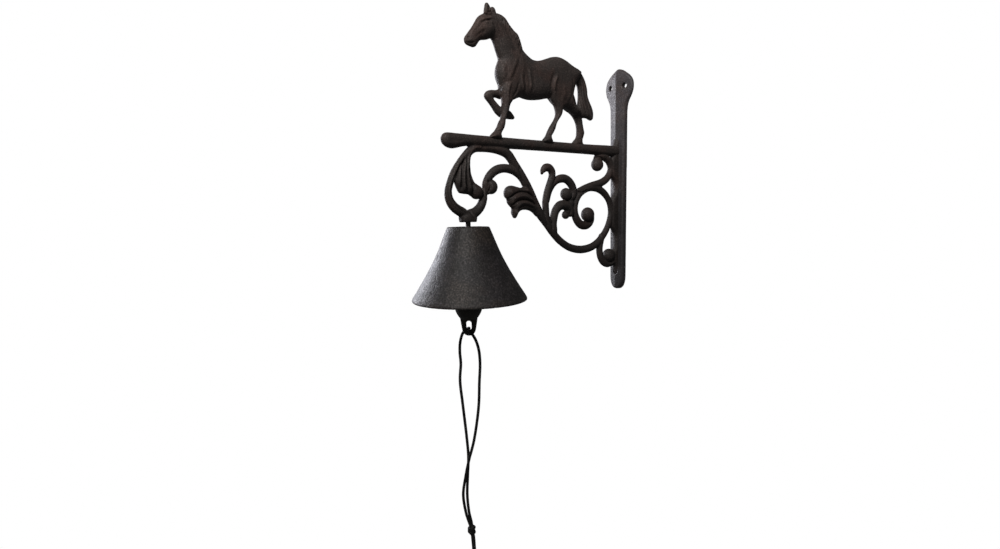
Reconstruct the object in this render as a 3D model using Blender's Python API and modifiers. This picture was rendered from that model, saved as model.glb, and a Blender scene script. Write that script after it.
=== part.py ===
"""Wall mounted bell: a cast iron scroll bracket with a horse on its arm, a bell, a clapper and a cord.

Metres, +Z up. The wall is the plane Y = 0 and the object stands in Y < 0, its arm along -Y in the
plane X = 0. The origin is the centre of the wall plate's flat back. Lengths below are millimetres
and are turned into metres by MM where geometry is made.
"""
import math

import bmesh
import bpy
from mathutils import Matrix, Vector

MM = 0.001
GAP = 0.3                      # clearance left between neighbouring pieces

# ---- wall plate
PLATE_TOP = 123.4
PLATE_BOTTOM = -124.0
STRIP_HALF = 11.0              # half width of the long strip at its neck
STRIP_LOW_HALF = 10.2          # half width near its lower end
RIDGE_DEPTH = 6.5              # plate thickness on the centre line
EDGE_DEPTH = 2.4               # plate thickness at its edges
RIDGE_HALF = 12.0              # half width of the sloping part of the front
HOLE_RADIUS = 2.75
UPPER_HOLE_X = 9.9
UPPER_HOLE_Z = 106.6
LOWER_HOLE_Z = -103.8
RIB_HALF = 3.6                 # half width of the rib where the scrolls meet the plate

MEMBER_FLATNESS = 0.86         # thickness of a scroll over its width

# ---- arm
ARM_TOP = 40.0
ARM_BOTTOM = 29.4
ARM_HALF = 5.0
ARM_LET_IN = -2.6              # how far the arm is let into the plate
ARM_TIP = -239.6

# ---- bell
BELL_Y = -212.5
BELL_TOP = -45.3
BELL_RIM = -115.4
BELL_WALL = 4.0
BELL_CROWN = 4.5
BELL_BORE = 3.1
BELL_STEPS = 44

# ---- hanger and eye bolt
BOSS_BOTTOM = -41.0
BOSS_BORE = 2.9
STUD_RADIUS = 2.6
STUD_TOP = -33.9
EYE_CENTRE_Z = -62.0
EYE_RING = 4.2                 # radius of the eye's wire centre line
EYE_WIRE = 1.5
WASHER_RADIUS = 6.5
WASHER_THICK = 1.0
NUT_ACROSS = 9.0
NUT_THICK = 3.5

HANG_TURN = math.radians(-36.87)   # the eye and all that hangs in it are turned this far about Z
PIVOT_X = -0.84                # the eye is bent slightly off the stud's axis
PIVOT_Y = BELL_Y - 1.12

# ---- clapper and its link
LINK_WIRE = 1.1
LINK_BEND = 4.0
LINK_STRAIGHT = 6.0
LINK_TOP_Z = -63.4             # axis on which the link hangs in the eye
LINK_PLAY = 1.1                # room above the link wire in the clapper's bore
CLAPPER_PIVOT_Z = LINK_TOP_Z - 2 * LINK_BEND - LINK_STRAIGHT
BALL_Z = -118.5
BALL_RADIUS = 13.3
TAIL_HALF_THICK = 2.5
EYE_SLOT_Z = -139.6
EYE_SLOT_HALF = 3.0            # half width of the slot
EYE_SLOT_RISE = 2.1            # straight length of its sides, half

# ---- pull cord
CORD_RADIUS = 1.25
CORD_EYE_Z = -143.2            # height at which the cord lies in the clapper's eye
KNOT_TOP = -341.5
KNOT_BOTTOM = -354.5
TAIL_END = -399.0


# ------------------------------------------------------------------ small helpers
def clear_objects():
    for obj in list(bpy.data.objects):
        bpy.data.objects.remove(obj, do_unlink=True)


def make_collection(name):
    col = bpy.data.collections.new(name)
    bpy.context.scene.collection.children.link(col)
    return col


def make_material(name, colour, roughness, metallic):
    mat = bpy.data.materials.new(name)
    mat.use_nodes = True
    shader = mat.node_tree.nodes["Principled BSDF"]
    shader.inputs["Base Color"].default_value = (colour[0], colour[1], colour[2], 1.0)
    shader.inputs["Roughness"].default_value = roughness
    shader.inputs["Metallic"].default_value = metallic
    mat.diffuse_color = (colour[0], colour[1], colour[2], 1.0)
    return mat


def link_object(name, mesh, col, origin=(0.0, 0.0, 0.0)):
    """Put a mesh made in world millimetres into the scene in metres about its own origin."""
    shift = Vector(origin)
    for vert in mesh.vertices:
        vert.co = (vert.co - shift) * MM
    mesh.update()
    obj = bpy.data.objects.new(name, mesh)
    obj.location = shift * MM
    col.objects.link(obj)
    return obj


def mesh_of(bm, name):
    bmesh.ops.recalc_face_normals(bm, faces=bm.faces)
    mesh = bpy.data.meshes.new(name)
    bm.to_mesh(mesh)
    bm.free()
    return mesh


def baked(obj, name, weld=0.0):
    """The evaluated mesh of an object in world coordinates; the object is taken away."""
    bpy.context.view_layer.update()
    graph = bpy.context.evaluated_depsgraph_get()
    mesh = bpy.data.meshes.new_from_object(obj.evaluated_get(graph))
    mesh.transform(obj.matrix_world)
    mesh.name = name
    bpy.data.objects.remove(obj, do_unlink=True)
    if weld > 0.0:
        bm = bmesh.new()
        bm.from_mesh(mesh)
        bmesh.ops.remove_doubles(bm, verts=bm.verts, dist=weld)
        bmesh.ops.recalc_face_normals(bm, faces=bm.faces)
        bm.to_mesh(mesh)
        bm.free()
    return mesh


def shade(obj, degrees=35.0):
    mesh = obj.data
    mesh.shade_smooth()
    mesh.set_sharp_from_angle(angle=math.radians(degrees))


def smooth_route(points, per_span):
    """A smooth line through the given points (any number of values a point)."""
    out = []
    last = len(points) - 1
    for i in range(last):
        p0 = points[max(i - 1, 0)]
        p1 = points[i]
        p2 = points[i + 1]
        p3 = points[min(i + 2, last)]
        for k in range(per_span):
            t = k / per_span
            value = []
            for a, b, c, d in zip(p0, p1, p2, p3):
                value.append(0.5 * (2 * b + (c - a) * t + (2 * a - 5 * b + 4 * c - d) * t * t
                                    + (3 * b - a - 3 * c + d) * t ** 3))
            out.append(tuple(value))
    out.append(tuple(points[last]))
    return out


def tube_mesh(name, route, grow=0.0, sides=2):
    """A round bar along a route of (x, y, z, radius)."""
    curve = bpy.data.curves.new(name, "CURVE")
    curve.dimensions = "3D"
    curve.bevel_depth = 1.0
    curve.bevel_resolution = sides
    curve.use_fill_caps = True
    spline = curve.splines.new("POLY")
    spline.points.add(len(route) - 1)
    for point, (x, y, z, radius) in zip(spline.points, route):
        point.co = (x, y, z, 1.0)
        point.radius = radius + grow
    obj = bpy.data.objects.new(name, curve)
    bpy.context.scene.collection.objects.link(obj)
    mesh = baked(obj, name, 0.0005)
    bpy.data.curves.remove(curve)
    return mesh


def outline_mesh(name, outline, x_from, x_to, rounding, grow=0.0, holes=()):
    """A flat shape given by (y, z) points, from x_from to x_to, with its edges rounded."""
    curve = bpy.data.curves.new(name, "CURVE")
    curve.dimensions = "2D"
    curve.fill_mode = "BOTH"
    curve.bevel_depth = rounding
    curve.bevel_resolution = 1
    curve.offset = grow - rounding
    curve.extrude = (x_to - x_from) / 2 - rounding + grow
    for loop in (outline,) + tuple(holes):
        spline = curve.splines.new("POLY")
        spline.points.add(len(loop) - 1)
        for point, (y, z) in zip(spline.points, loop):
            point.co = (y, z, 0.0, 1.0)
        spline.use_cyclic_u = True
    obj = bpy.data.objects.new(name, curve)
    bpy.context.scene.collection.objects.link(obj)
    middle = (x_from + x_to) / 2
    obj.matrix_world = Matrix(((0, 0, 1, middle), (1, 0, 0, 0), (0, 1, 0, 0), (0, 0, 0, 1)))
    mesh = baked(obj, name, 0.0005)
    bpy.data.curves.remove(curve)
    return mesh


def ball_mesh(name, centre, radius, grow=0.0, squash=1.0, segments=18, rings=10):
    bm = bmesh.new()
    bmesh.ops.create_uvsphere(bm, u_segments=segments, v_segments=rings, radius=radius + grow)
    bmesh.ops.scale(bm, vec=(squash, 1.0, 1.0), verts=bm.verts)
    bmesh.ops.rotate(bm, cent=(0, 0, 0), matrix=Matrix.Rotation(0.13, 3, "X"), verts=bm.verts)
    bmesh.ops.translate(bm, vec=centre, verts=bm.verts)
    return mesh_of(bm, name)


def rod_mesh(name, centre, radius, low, high, axis="Z", segments=24):
    bm = bmesh.new()
    bmesh.ops.create_cone(bm, cap_ends=True, segments=segments, radius1=radius, radius2=radius,
                          depth=high - low)
    bmesh.ops.translate(bm, vec=(0, 0, (high + low) / 2), verts=bm.verts)
    if axis == "X":
        bmesh.ops.rotate(bm, cent=(0, 0, 0), matrix=Matrix.Rotation(math.pi / 2, 3, "Y"), verts=bm.verts)
    if axis == "Y":
        bmesh.ops.rotate(bm, cent=(0, 0, 0), matrix=Matrix.Rotation(-math.pi / 2, 3, "X"), verts=bm.verts)
    bmesh.ops.translate(bm, vec=centre, verts=bm.verts)
    return mesh_of(bm, name)


def box_mesh(name, low, high):
    bm = bmesh.new()
    bmesh.ops.create_cube(bm, size=1.0)
    size = [high[i] - low[i] for i in range(3)]
    middle = [(high[i] + low[i]) / 2 for i in range(3)]
    bmesh.ops.scale(bm, vec=size, verts=bm.verts)
    bmesh.ops.translate(bm, vec=middle, verts=bm.verts)
    return mesh_of(bm, name)


def turned_mesh(name, profile, steps, centre, closed=True):
    """A turned piece: (radius, z) down the outer side and back up the inner side."""
    mesh = bpy.data.meshes.new(name)
    verts = [(r, 0.0, z) for r, z in profile]
    edges = [(i, i + 1) for i in range(len(profile) - 1)]
    if closed:
        edges.append((len(profile) - 1, 0))
    mesh.from_pydata(verts, edges, [])
    obj = bpy.data.objects.new(name, mesh)
    bpy.context.scene.collection.objects.link(obj)
    obj.location = (centre[0], centre[1], centre[2])
    mod = obj.modifiers.new("turn", "SCREW")
    mod.axis = "Z"
    mod.angle = 2 * math.pi
    mod.steps = steps
    mod.render_steps = steps
    mod.use_merge_vertices = True
    mod.merge_threshold = 0.0001
    out = baked(obj, name, 0.0002)
    return out


def combine(name, base, others, operation):
    """One mesh joined with, or cut by, others."""
    obj = bpy.data.objects.new(name, base)
    bpy.context.scene.collection.objects.link(obj)
    tools = []
    for i, other in enumerate(others):
        tool = bpy.data.objects.new(name + "_tool%d" % i, other)
        tool.display_type = "WIRE"
        tool.hide_render = True
        bpy.context.scene.collection.objects.link(tool)
        mod = obj.modifiers.new("b%d" % i, "BOOLEAN")
        mod.operation = operation
        mod.solver = "EXACT"
        mod.object = tool
        tools.append(tool)
    mesh = baked(obj, name, 0.0005)
    for tool in tools:
        bpy.data.objects.remove(tool, do_unlink=True)
    return mesh


def squashed(mesh, share):
    """Narrow a mesh across the bracket's plane."""
    for vert in mesh.vertices:
        vert.co.x = vert.co.x * share
    return mesh


def ironed(points, per_span=1):
    """Scroll route in the plane X = 0: (y, z, radius) to (x, y, z, radius)."""
    return [(0.0, y, z, r) for y, z, r in smooth_route(points, per_span)]


# ------------------------------------------------------------------ bracket outlines and routes
ARM_OUTLINE = [
    (ARM_LET_IN, ARM_TOP), (ARM_LET_IN, ARM_BOTTOM), (-212.0, ARM_BOTTOM), (-216.0, 29.0), (-220.5, 28.0),
    (-225.0, 26.8), (-229.0, 26.3), (-233.0, 26.8), (-236.5, 28.4), (-238.8, 31.0), (ARM_TIP, 34.4),
    (-238.8, 37.8), (-236.8, 39.6), (-234.0, ARM_TOP),
]

HORSE_BODY = [
    (-208.6, 127.5), (-209.8, 123.6), (-206.8, 121.0), (-202.9, 119.4), (-199.6, 120.2), (-195.5, 124.8),
    (-191.5, 127.6), (-185.0, 128.4), (-179.4, 129.5), (-176.2, 124.4), (-173.6, 118.3), (-171.2, 113.3),
    (-172.4, 108.9), (-173.5, 101.1), (-173.2, 95.6), (-171.0, 88.8), (-169.0, 82.0), (-164.0, 77.0),
    (-158.0, 76.6), (-152.2, 79.6), (-145.6, 80.2), (-134.4, 79.2), (-124.4, 80.0), (-114.4, 82.4),
    (-107.0, 82.8), (-102.5, 78.5), (-98.0, 75.5), (-91.0, 75.5), (-84.0, 75.0), (-78.5, 77.0),
    (-77.0, 83.0), (-77.2, 90.0), (-75.5, 98.0), (-73.0, 104.0), (-71.0, 110.0), (-72.0, 115.6),
    (-81.6, 118.6), (-89.6, 121.6), (-96.6, 124.6), (-103.2, 125.0), (-110.0, 123.0), (-118.9, 120.2),
    (-127.6, 118.4), (-134.6, 118.0), (-141.0, 120.4), (-146.8, 124.2), (-149.0, 130.0), (-151.2, 135.6),
    (-153.6, 139.4), (-158.4, 143.4), (-162.4, 146.6), (-167.6, 150.8), (-172.6, 153.2), (-176.4, 154.3),
    (-178.6, 155.0), (-182.1, 154.0), (-186.0, 153.8), (-189.0, 151.4), (-191.6, 150.0), (-194.8, 147.4),
    (-197.8, 141.8), (-201.2, 136.6), (-206.4, 130.2),
]
HORSE_NEAR_EAR = [(-191.6, 150.0), (-191.0, 158.8), (-189.0, 160.4), (-186.4, 159.4), (-183.6, 151.0)]
HORSE_FAR_EAR = [(-182.0, 151.0), (-180.4, 158.0), (-177.4, 159.2), (-174.4, 158.0), (-172.8, 151.0)]
HORSE_NEAR_FORELEG = [
    (-174.0, 84.0), (-173.4, 74.0), (-174.6, 66.0), (-174.4, 57.8), (-177.4, 52.8), (-180.8, 46.0),
    (-186.6, 40.0), (-186.6, 37.0), (-175.0, 37.0), (-174.4, 42.0), (-170.8, 48.6), (-169.4, 56.0),
    (-165.0, 66.0), (-162.4, 72.0), (-156.5, 78.0), (-152.0, 88.0), (-165.0, 95.0),
]
HORSE_RAISED_FORELEG = [
    (-168.0, 92.0), (-171.0, 86.6), (-177.0, 85.4), (-183.0, 84.8), (-186.4, 82.8), (-187.4, 79.0),
    (-186.0, 75.8), (-181.4, 71.4), (-176.0, 65.4), (-172.6, 61.8), (-168.0, 58.6), (-161.3, 58.0),
    (-153.0, 58.8), (-152.4, 60.6), (-156.6, 66.2), (-163.0, 67.6), (-171.0, 68.4), (-174.4, 70.6),
    (-179.4, 76.6), (-173.4, 77.4), (-166.0, 76.0), (-160.0, 84.0),
]
HORSE_NEAR_HINDLEG = [
    (-108.0, 90.0), (-107.2, 80.0), (-103.4, 74.2), (-103.0, 68.4), (-105.4, 63.4), (-109.6, 56.0),
    (-113.6, 49.6), (-116.4, 44.6), (-120.0, 40.0), (-120.0, 37.0), (-110.0, 37.0), (-110.2, 42.6),
    (-106.6, 47.6), (-102.4, 54.0), (-98.4, 61.0), (-94.0, 67.8), (-91.0, 74.6), (-84.0, 90.0),
]
HORSE_FAR_HINDLEG = [
    (-88.0, 84.0), (-84.0, 74.6), (-77.0, 71.6), (-70.0, 67.6), (-66.0, 61.6), (-64.6, 53.5),
    (-65.2, 47.4), (-68.6, 44.2), (-73.0, 40.0), (-73.0, 37.0), (-59.6, 37.0), (-59.8, 41.0),
    (-60.4, 46.3), (-57.6, 52.5), (-59.4, 60.0), (-61.4, 67.5), (-68.0, 78.0), (-76.0, 84.0),
]
HORSE_TAIL = [
    (-73.0, 116.4), (-75.0, 108.0), (-69.0, 101.6), (-66.0, 98.6), (-65.0, 90.0), (-64.8, 79.4),
    (-68.0, 77.6), (-68.0, 71.0), (-60.4, 66.8), (-54.0, 66.4), (-48.4, 64.4), (-46.8, 66.4),
    (-46.8, 75.0), (-50.4, 82.5), (-55.4, 91.3), (-56.6, 103.8), (-60.2, 112.0), (-66.0, 116.6),
]

HANGER_RING = [
    (-203.5, 30.5, 3.0), (-211.5, 23.3, 3.0), (-218.3, 15.8, 3.0), (-226.0, 5.7, 3.0), (-230.1, -2.4, 3.1),
    (-233.0, -10.8, 3.3), (-233.1, -17.3, 3.7), (-230.9, -22.8, 4.1), (-226.3, -27.6, 4.5),
    (-219.5, -31.5, 4.7), (-212.5, -33.6, 4.8), (-204.9, -32.3, 4.8), (-198.3, -26.8, 4.2),
    (-195.0, -19.6, 3.9), (-194.6, -13.5, 3.6),
]
HANGER_LEAF = [
    (-207.0, 31.0), (-213.8, 21.3), (-219.8, 12.8), (-224.4, 5.2), (-226.6, -0.8), (-226.2, -4.8),
    (-223.8, -10.3), (-221.5, -14.0), (-217.0, -14.8), (-211.5, -15.2), (-208.5, -17.0), (-203.0, -16.8),
    (-198.5, -12.0), (-201.0, -6.3), (-203.7, -4.8), (-205.8, -1.7), (-207.8, 3.7), (-208.6, 10.7),
    (-207.4, 16.8), (-204.8, 20.9), (-201.2, 24.2), (-198.0, 31.0),
]
LEAF_KNOB = (0.0, -202.4, -12.9)
LEAF_KNOB_RADIUS = 6.7

MAIN_SCROLL = [
    (-205.0, 18.8, 2.4), (-202.0, 24.3, 3.1), (-194.0, 27.9, 3.7), (-185.0, 28.6, 4.2), (-175.0, 27.8, 4.7),
    (-164.5, 24.4, 4.9), (-155.7, 14.6, 4.6), (-146.5, 3.0, 4.7), (-138.5, -8.6, 4.8), (-130.6, -22.2, 4.8),
    (-123.7, -33.7, 4.8), (-113.8, -44.9, 4.3), (-104.3, -55.5, 4.1), (-94.0, -64.2, 4.0),
    (-80.5, -71.4, 4.1), (-64.5, -74.6, 4.3), (-48.0, -73.0, 4.3), (-35.0, -66.8, 4.0), (-23.5, -56.0, 3.7),
    (-17.2, -44.2, 3.5), (-15.1, -33.0, 3.4), (-18.2, -21.5, 3.6), (-26.5, -12.6, 4.0), (-37.5, -7.8, 4.0),
    (-50.0, -7.0, 4.0), (-61.2, -10.8, 4.1), (-68.7, -17.8, 3.8), (-72.6, -28.0, 3.7), (-71.4, -38.5, 4.4),
    (-64.3, -46.8, 4.7), (-54.5, -48.1, 4.7), (-48.0, -43.4, 4.2), (-47.2, -37.0, 3.8),
]
SCROLL_BALL = (0.0, -52.6, -36.5)
SCROLL_BALL_RADIUS = 8.0

SMALL_ARCH = [
    (-145.5, -0.5, 3.4), (-149.8, 4.6, 4.1), (-158.0, 8.9, 4.3), (-168.5, 10.4, 4.2), (-177.7, 8.6, 4.4),
    (-184.7, 4.2, 4.3), (-189.0, -0.8, 4.0), (-191.4, -6.4, 3.8), (-189.8, -11.5, 4.0),
]
ARCH_BALL = (0.0, -185.0, -7.9)
ARCH_BALL_RADIUS = 6.9

ACANTHUS_LEAF = [
    (-141.5, -6.8), (-148.0, -8.6), (-154.0, -7.6), (-160.0, -6.5), (-164.8, -7.2), (-167.4, -10.0),
    (-168.4, -14.2), (-167.6, -17.7), (-164.7, -20.4), (-163.9, -23.5), (-161.6, -26.5), (-159.2, -28.5),
    (-158.9, -32.7), (-158.0, -36.6), (-156.4, -38.4), (-154.8, -37.2), (-153.2, -34.2), (-150.2, -31.9),
    (-145.6, -30.8), (-138.7, -31.2), (-132.4, -33.8), (-127.5, -37.5), (-124.5, -36.0), (-131.0, -22.5),
    (-137.0, -11.0),
]

TENDRIL_HOOK = [
    (-113.6, -42.0, 4.0), (-114.6, -32.0, 3.9), (-114.9, -22.0, 3.9), (-112.5, -12.0, 3.8),
    (-108.9, -3.5, 3.8), (-106.0, 3.0, 3.9), (-105.8, 8.6, 4.0), (-109.8, 12.3, 4.1), (-115.2, 12.0, 3.8),
    (-118.6, 9.0, 2.8), (-119.8, 7.0, 1.6),
]
TENDRIL_ARCH = [
    (-109.2, -12.0, 3.0), (-105.2, -5.0, 3.4), (-100.0, -0.2, 4.0), (-93.5, 2.0, 4.4), (-86.0, 1.8, 4.5),
    (-79.2, -2.4, 4.6), (-74.8, -9.5, 4.3), (-76.2, -16.6, 4.0), (-82.6, -18.0, 3.6),
]
TENDRIL_BALL = (0.0, -85.6, -14.2)
TENDRIL_BALL_RADIUS = 6.3
LEAF_STEM = [
    (-105.8, -46.0, 4.3), (-103.4, -39.0, 4.3), (-100.9, -32.4, 4.5), (-95.6, -27.4, 4.8),
    (-88.5, -26.6, 4.9), (-82.0, -29.6, 4.6), (-81.0, -35.0, 4.2),
]
LEAF_TIP = (0.0, -86.0, -36.5)
LEAF_TIP_RADIUS = 4.0

UPPER_CURL = [
    (-66.5, -10.2, 2.6), (-56.5, -7.2, 3.2), (-45.5, -4.6, 3.9), (-35.0, -2.4, 4.1), (-26.5, 0.6, 4.2),
    (-19.4, 6.0, 4.0), (-15.6, 14.0, 3.6), (-17.8, 21.8, 4.0), (-24.5, 26.9, 4.4), (-32.0, 27.8, 4.5),
    (-38.5, 24.4, 4.4),
]
UPPER_BALL = (0.0, -37.4, 18.7)
UPPER_BALL_RADIUS = 7.3
LOWER_CURL = [
    (-31.8, -68.0, 4.0), (-33.4, -76.0, 3.9), (-32.2, -84.0, 4.0), (-27.6, -90.4, 4.3), (-20.0, -93.2, 4.5),
    (-12.0, -91.4, 4.2),
]
LOWER_BALL = (0.0, -17.6, -84.4)
LOWER_BALL_RADIUS = 7.4

PLATE_RIB = [
    (-3.0, 46.0), (-9.0, 45.0), (-12.0, 32.0), (-17.0, 24.0), (-17.0, 8.0), (-11.0, 1.5), (-10.0, -14.0),
    (-15.0, -22.0), (-16.0, -36.0), (-15.0, -50.0), (-10.0, -59.0), (-10.0, -75.0), (-13.0, -80.0),
    (-13.0, -89.0), (-9.0, -97.0), (-3.0, -99.0),
]


# ------------------------------------------------------------------ members, plain or grown by GAP
def scroll_member(name, route, ball=None, ball_radius=0.0, grow=0.0):
    mesh = squashed(tube_mesh(name, ironed(route, 2), grow), MEMBER_FLATNESS)
    if ball is None:
        return mesh
    knob = squashed(ball_mesh(name + "_ball", ball, ball_radius, grow), MEMBER_FLATNESS)
    return combine(name, mesh, [knob], "UNION")


def arm_bar(grow=0.0):
    return outline_mesh("arm_bar", ARM_OUTLINE, -ARM_HALF, ARM_HALF, 2.0, grow)


def hanger_ring(grow=0.0):
    ring = tube_mesh("hanger_ring", ironed(HANGER_RING, 2), grow, 3)
    boss = turned_mesh("boss", [
        (0.0, -31.0), (6.0, -31.0), (10.6, -35.5), (10.4, -37.0), (9.4, BOSS_BOTTOM - grow),
        (0.0, BOSS_BOTTOM - grow),
    ], 28, (0.0, BELL_Y, 0.0), closed=False)
    for vert in boss.vertices:
        vert.co.x = vert.co.x * 0.72
    mesh = combine("hanger_ring", ring, [boss], "UNION")
    if grow > 0.0:
        return mesh
    bore = rod_mesh("bore", (0.0, BELL_Y, 0.0), BOSS_BORE, BOSS_BOTTOM - 4.0, STUD_TOP + 0.4)
    return combine("hanger_ring", mesh, [bore], "DIFFERENCE")


def hanger_leaf(grow=0.0):
    leaf = outline_mesh("hanger_leaf", HANGER_LEAF, -4.4, 4.4, 1.4, grow)
    knob = ball_mesh("knob", LEAF_KNOB, LEAF_KNOB_RADIUS, grow)
    return combine("hanger_leaf", leaf, [knob], "UNION")


def main_scroll(grow=0.0):
    return scroll_member("main_scroll", MAIN_SCROLL, SCROLL_BALL, SCROLL_BALL_RADIUS, grow)


def small_arch(grow=0.0):
    return scroll_member("small_arch", SMALL_ARCH, ARCH_BALL, ARCH_BALL_RADIUS, grow)


def tendril_hook(grow=0.0):
    return scroll_member("tendril_hook", TENDRIL_HOOK, grow=grow)


def tendril_arch(grow=0.0):
    return scroll_member("tendril_arch", TENDRIL_ARCH, TENDRIL_BALL, TENDRIL_BALL_RADIUS, grow)


def leaf_stem(grow=0.0):
    return scroll_member("leaf_stem", LEAF_STEM, LEAF_TIP, LEAF_TIP_RADIUS, grow)


def upper_curl(grow=0.0):
    return scroll_member("upper_curl", UPPER_CURL, UPPER_BALL, UPPER_BALL_RADIUS, grow)


def lower_curl(grow=0.0):
    return scroll_member("lower_curl", LOWER_CURL, LOWER_BALL, LOWER_BALL_RADIUS, grow)


def acanthus_leaf():
    return outline_mesh("acanthus_leaf", ACANTHUS_LEAF, -5.0, 5.0, 1.2)


# ------------------------------------------------------------------ wall plate
def plate_outline():
    """Half outline of the plate front, x against z, from the tip down; mirrored to close it."""
    half = [
        (1.4, PLATE_TOP + 2.8), (4.8, 124.6), (9.0, 122.0), (13.4, 118.8), (17.0, 115.2), (19.8, 110.8),
        (20.6, 105.8), (19.5, 100.2), (16.6, 94.8), (13.2, 89.6), (STRIP_HALF + 0.6, 84.0),
        (STRIP_HALF, 76.0), (STRIP_LOW_HALF, -111.0), (9.4, -116.6), (7.2, -120.6), (4.0, -123.2),
    ]
    out = list(half)
    out.append((0.0, PLATE_BOTTOM))
    for x, z in reversed(half):
        out.append((-x, z))
    return out


def wall_plate():
    curve = bpy.data.curves.new("plate", "CURVE")
    curve.dimensions = "2D"
    curve.fill_mode = "BOTH"
    curve.extrude = 10.0
    points = plate_outline()
    spline = curve.splines.new("POLY")
    spline.points.add(len(points) - 1)
    for point, (x, z) in zip(spline.points, points):
        point.co = (x, z, 0.0, 1.0)
    spline.use_cyclic_u = True
    obj = bpy.data.objects.new("plate", curve)
    bpy.context.scene.collection.objects.link(obj)
    obj.matrix_world = Matrix(((1, 0, 0, 0), (0, 0, -1, 0), (0, 1, 0, 0), (0, 0, 0, 1)))
    flat = baked(obj, "wall_plate", 0.0005)
    bpy.data.curves.remove(curve)
    section = [
        (-30.0, 0.0), (-30.0, -EDGE_DEPTH), (-RIDGE_HALF, -EDGE_DEPTH), (0.0, -RIDGE_DEPTH),
        (RIDGE_HALF, -EDGE_DEPTH), (30.0, -EDGE_DEPTH), (30.0, 0.0),
    ]
    bm = bmesh.new()
    low = [bm.verts.new((x, y, -140.0)) for x, y in section]
    high = [bm.verts.new((x, y, 140.0)) for x, y in section]
    bm.faces.new(low)
    bm.faces.new(reversed(high))
    for i in range(len(section)):
        j = (i + 1) % len(section)
        bm.faces.new((low[i], high[i], high[j], low[j]))
    roof = mesh_of(bm, "roof")
    plate = combine("wall_plate", flat, [roof], "INTERSECT")
    rib = outline_mesh("rib", PLATE_RIB, -RIB_HALF, RIB_HALF, 1.0)
    plate = combine("wall_plate", plate, [rib], "UNION")
    cutters = [
        arm_bar(GAP), main_scroll(GAP), upper_curl(GAP), lower_curl(GAP),
        rod_mesh("hole_a", (UPPER_HOLE_X, 0.0, UPPER_HOLE_Z), HOLE_RADIUS, -20.0, 20.0, "Y"),
        rod_mesh("hole_b", (-UPPER_HOLE_X, 0.0, UPPER_HOLE_Z), HOLE_RADIUS, -20.0, 20.0, "Y"),
        rod_mesh("hole_c", (0.0, 0.0, LOWER_HOLE_Z), HOLE_RADIUS, -20.0, 20.0, "Y"),
    ]
    return combine("wall_plate", plate, cutters, "DIFFERENCE")


# ------------------------------------------------------------------ horse
def horse_figure():
    body = outline_mesh("horse_figure", HORSE_BODY, -8.0, 8.0, 2.6)
    parts = [
        outline_mesh("near_ear", HORSE_NEAR_EAR, 1.0, 5.0, 0.8),
        outline_mesh("far_ear", HORSE_FAR_EAR, -5.0, -1.0, 0.8),
        outline_mesh("near_foreleg", HORSE_NEAR_FORELEG, -0.6, 6.2, 1.2),
        outline_mesh("raised_foreleg", HORSE_RAISED_FORELEG, -6.4, 0.2, 1.2),
        outline_mesh("near_hindleg", HORSE_NEAR_HINDLEG, -1.2, 6.0, 1.2),
        outline_mesh("far_hindleg", HORSE_FAR_HINDLEG, -6.0, 1.2, 1.2),
        outline_mesh("tail", HORSE_TAIL, -3.6, 3.6, 1.2),
    ]
    mesh = combine("horse_figure", body, parts, "UNION")
    floor = box_mesh("bar_top", (-20.0, -260.0, 20.0), (20.0, 0.0, ARM_TOP + GAP))
    return combine("horse_figure", mesh, [floor], "DIFFERENCE")


# ------------------------------------------------------------------ bell and its fixings
def bell():
    outer = [
        (20.0, BELL_TOP), (22.5, -51.5), (25.6, -59.0), (31.1, -71.8), (37.7, -84.6), (44.6, -96.5),
        (51.0, -106.8), (54.1, -111.8), (55.0, -114.0), (54.7, BELL_RIM),
    ]
    inner = [
        (51.2, BELL_RIM), (50.4, -113.8), (47.2, -108.8), (40.8, -98.6), (34.1, -86.8), (27.4, -73.8),
        (21.8, -60.8), (18.5, -53.0), (16.6, BELL_TOP - BELL_CROWN),
    ]
    profile = [(BELL_BORE, BELL_TOP)] + outer + inner + [(BELL_BORE, BELL_TOP - BELL_CROWN)]
    return turned_mesh("bell", profile, BELL_STEPS, (0.0, BELL_Y, 0.0))


def hung(mesh):
    """Turn a piece made about the Z axis, its flat side facing X, to where the eye holds it."""
    place = Matrix.Translation((PIVOT_X, PIVOT_Y, 0.0)) @ Matrix.Rotation(HANG_TURN, 4, "Z")
    mesh.transform(place)
    return mesh


def hanger_eye_bolt():
    stud = rod_mesh("hanger_eye_bolt", (0.0, BELL_Y, 0.0), STUD_RADIUS, EYE_CENTRE_Z + EYE_RING, STUD_TOP)
    bm = bmesh.new()
    ring_steps = 24
    wire_steps = 10
    rows = []
    for i in range(ring_steps):
        turn = 2 * math.pi * i / ring_steps
        row = []
        for k in range(wire_steps):
            around = 2 * math.pi * k / wire_steps
            radius = EYE_RING + EYE_WIRE * math.cos(around)
            row.append(bm.verts.new((EYE_WIRE * math.sin(around), radius * math.sin(turn),
                                     EYE_CENTRE_Z + radius * math.cos(turn))))
        rows.append(row)
    for i in range(ring_steps):
        for k in range(wire_steps):
            j = (i + 1) % ring_steps
            m = (k + 1) % wire_steps
            bm.faces.new((rows[i][k], rows[j][k], rows[j][m], rows[i][m]))
    ring = hung(mesh_of(bm, "eye"))
    neck = ball_mesh("neck", (PIVOT_X * 0.5, (BELL_Y + PIVOT_Y) * 0.5, EYE_CENTRE_Z + EYE_RING), 2.3)
    return combine("hanger_eye_bolt", stud, [neck, ring], "UNION")


def washer_top():
    return BELL_TOP - BELL_CROWN - GAP


def bell_washer():
    top = washer_top()
    low = top - WASHER_THICK
    return turned_mesh("bell_washer", [
        (BELL_BORE, top), (WASHER_RADIUS, top), (WASHER_RADIUS, low), (BELL_BORE, low),
    ], 28, (0.0, BELL_Y, 0.0))


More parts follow.
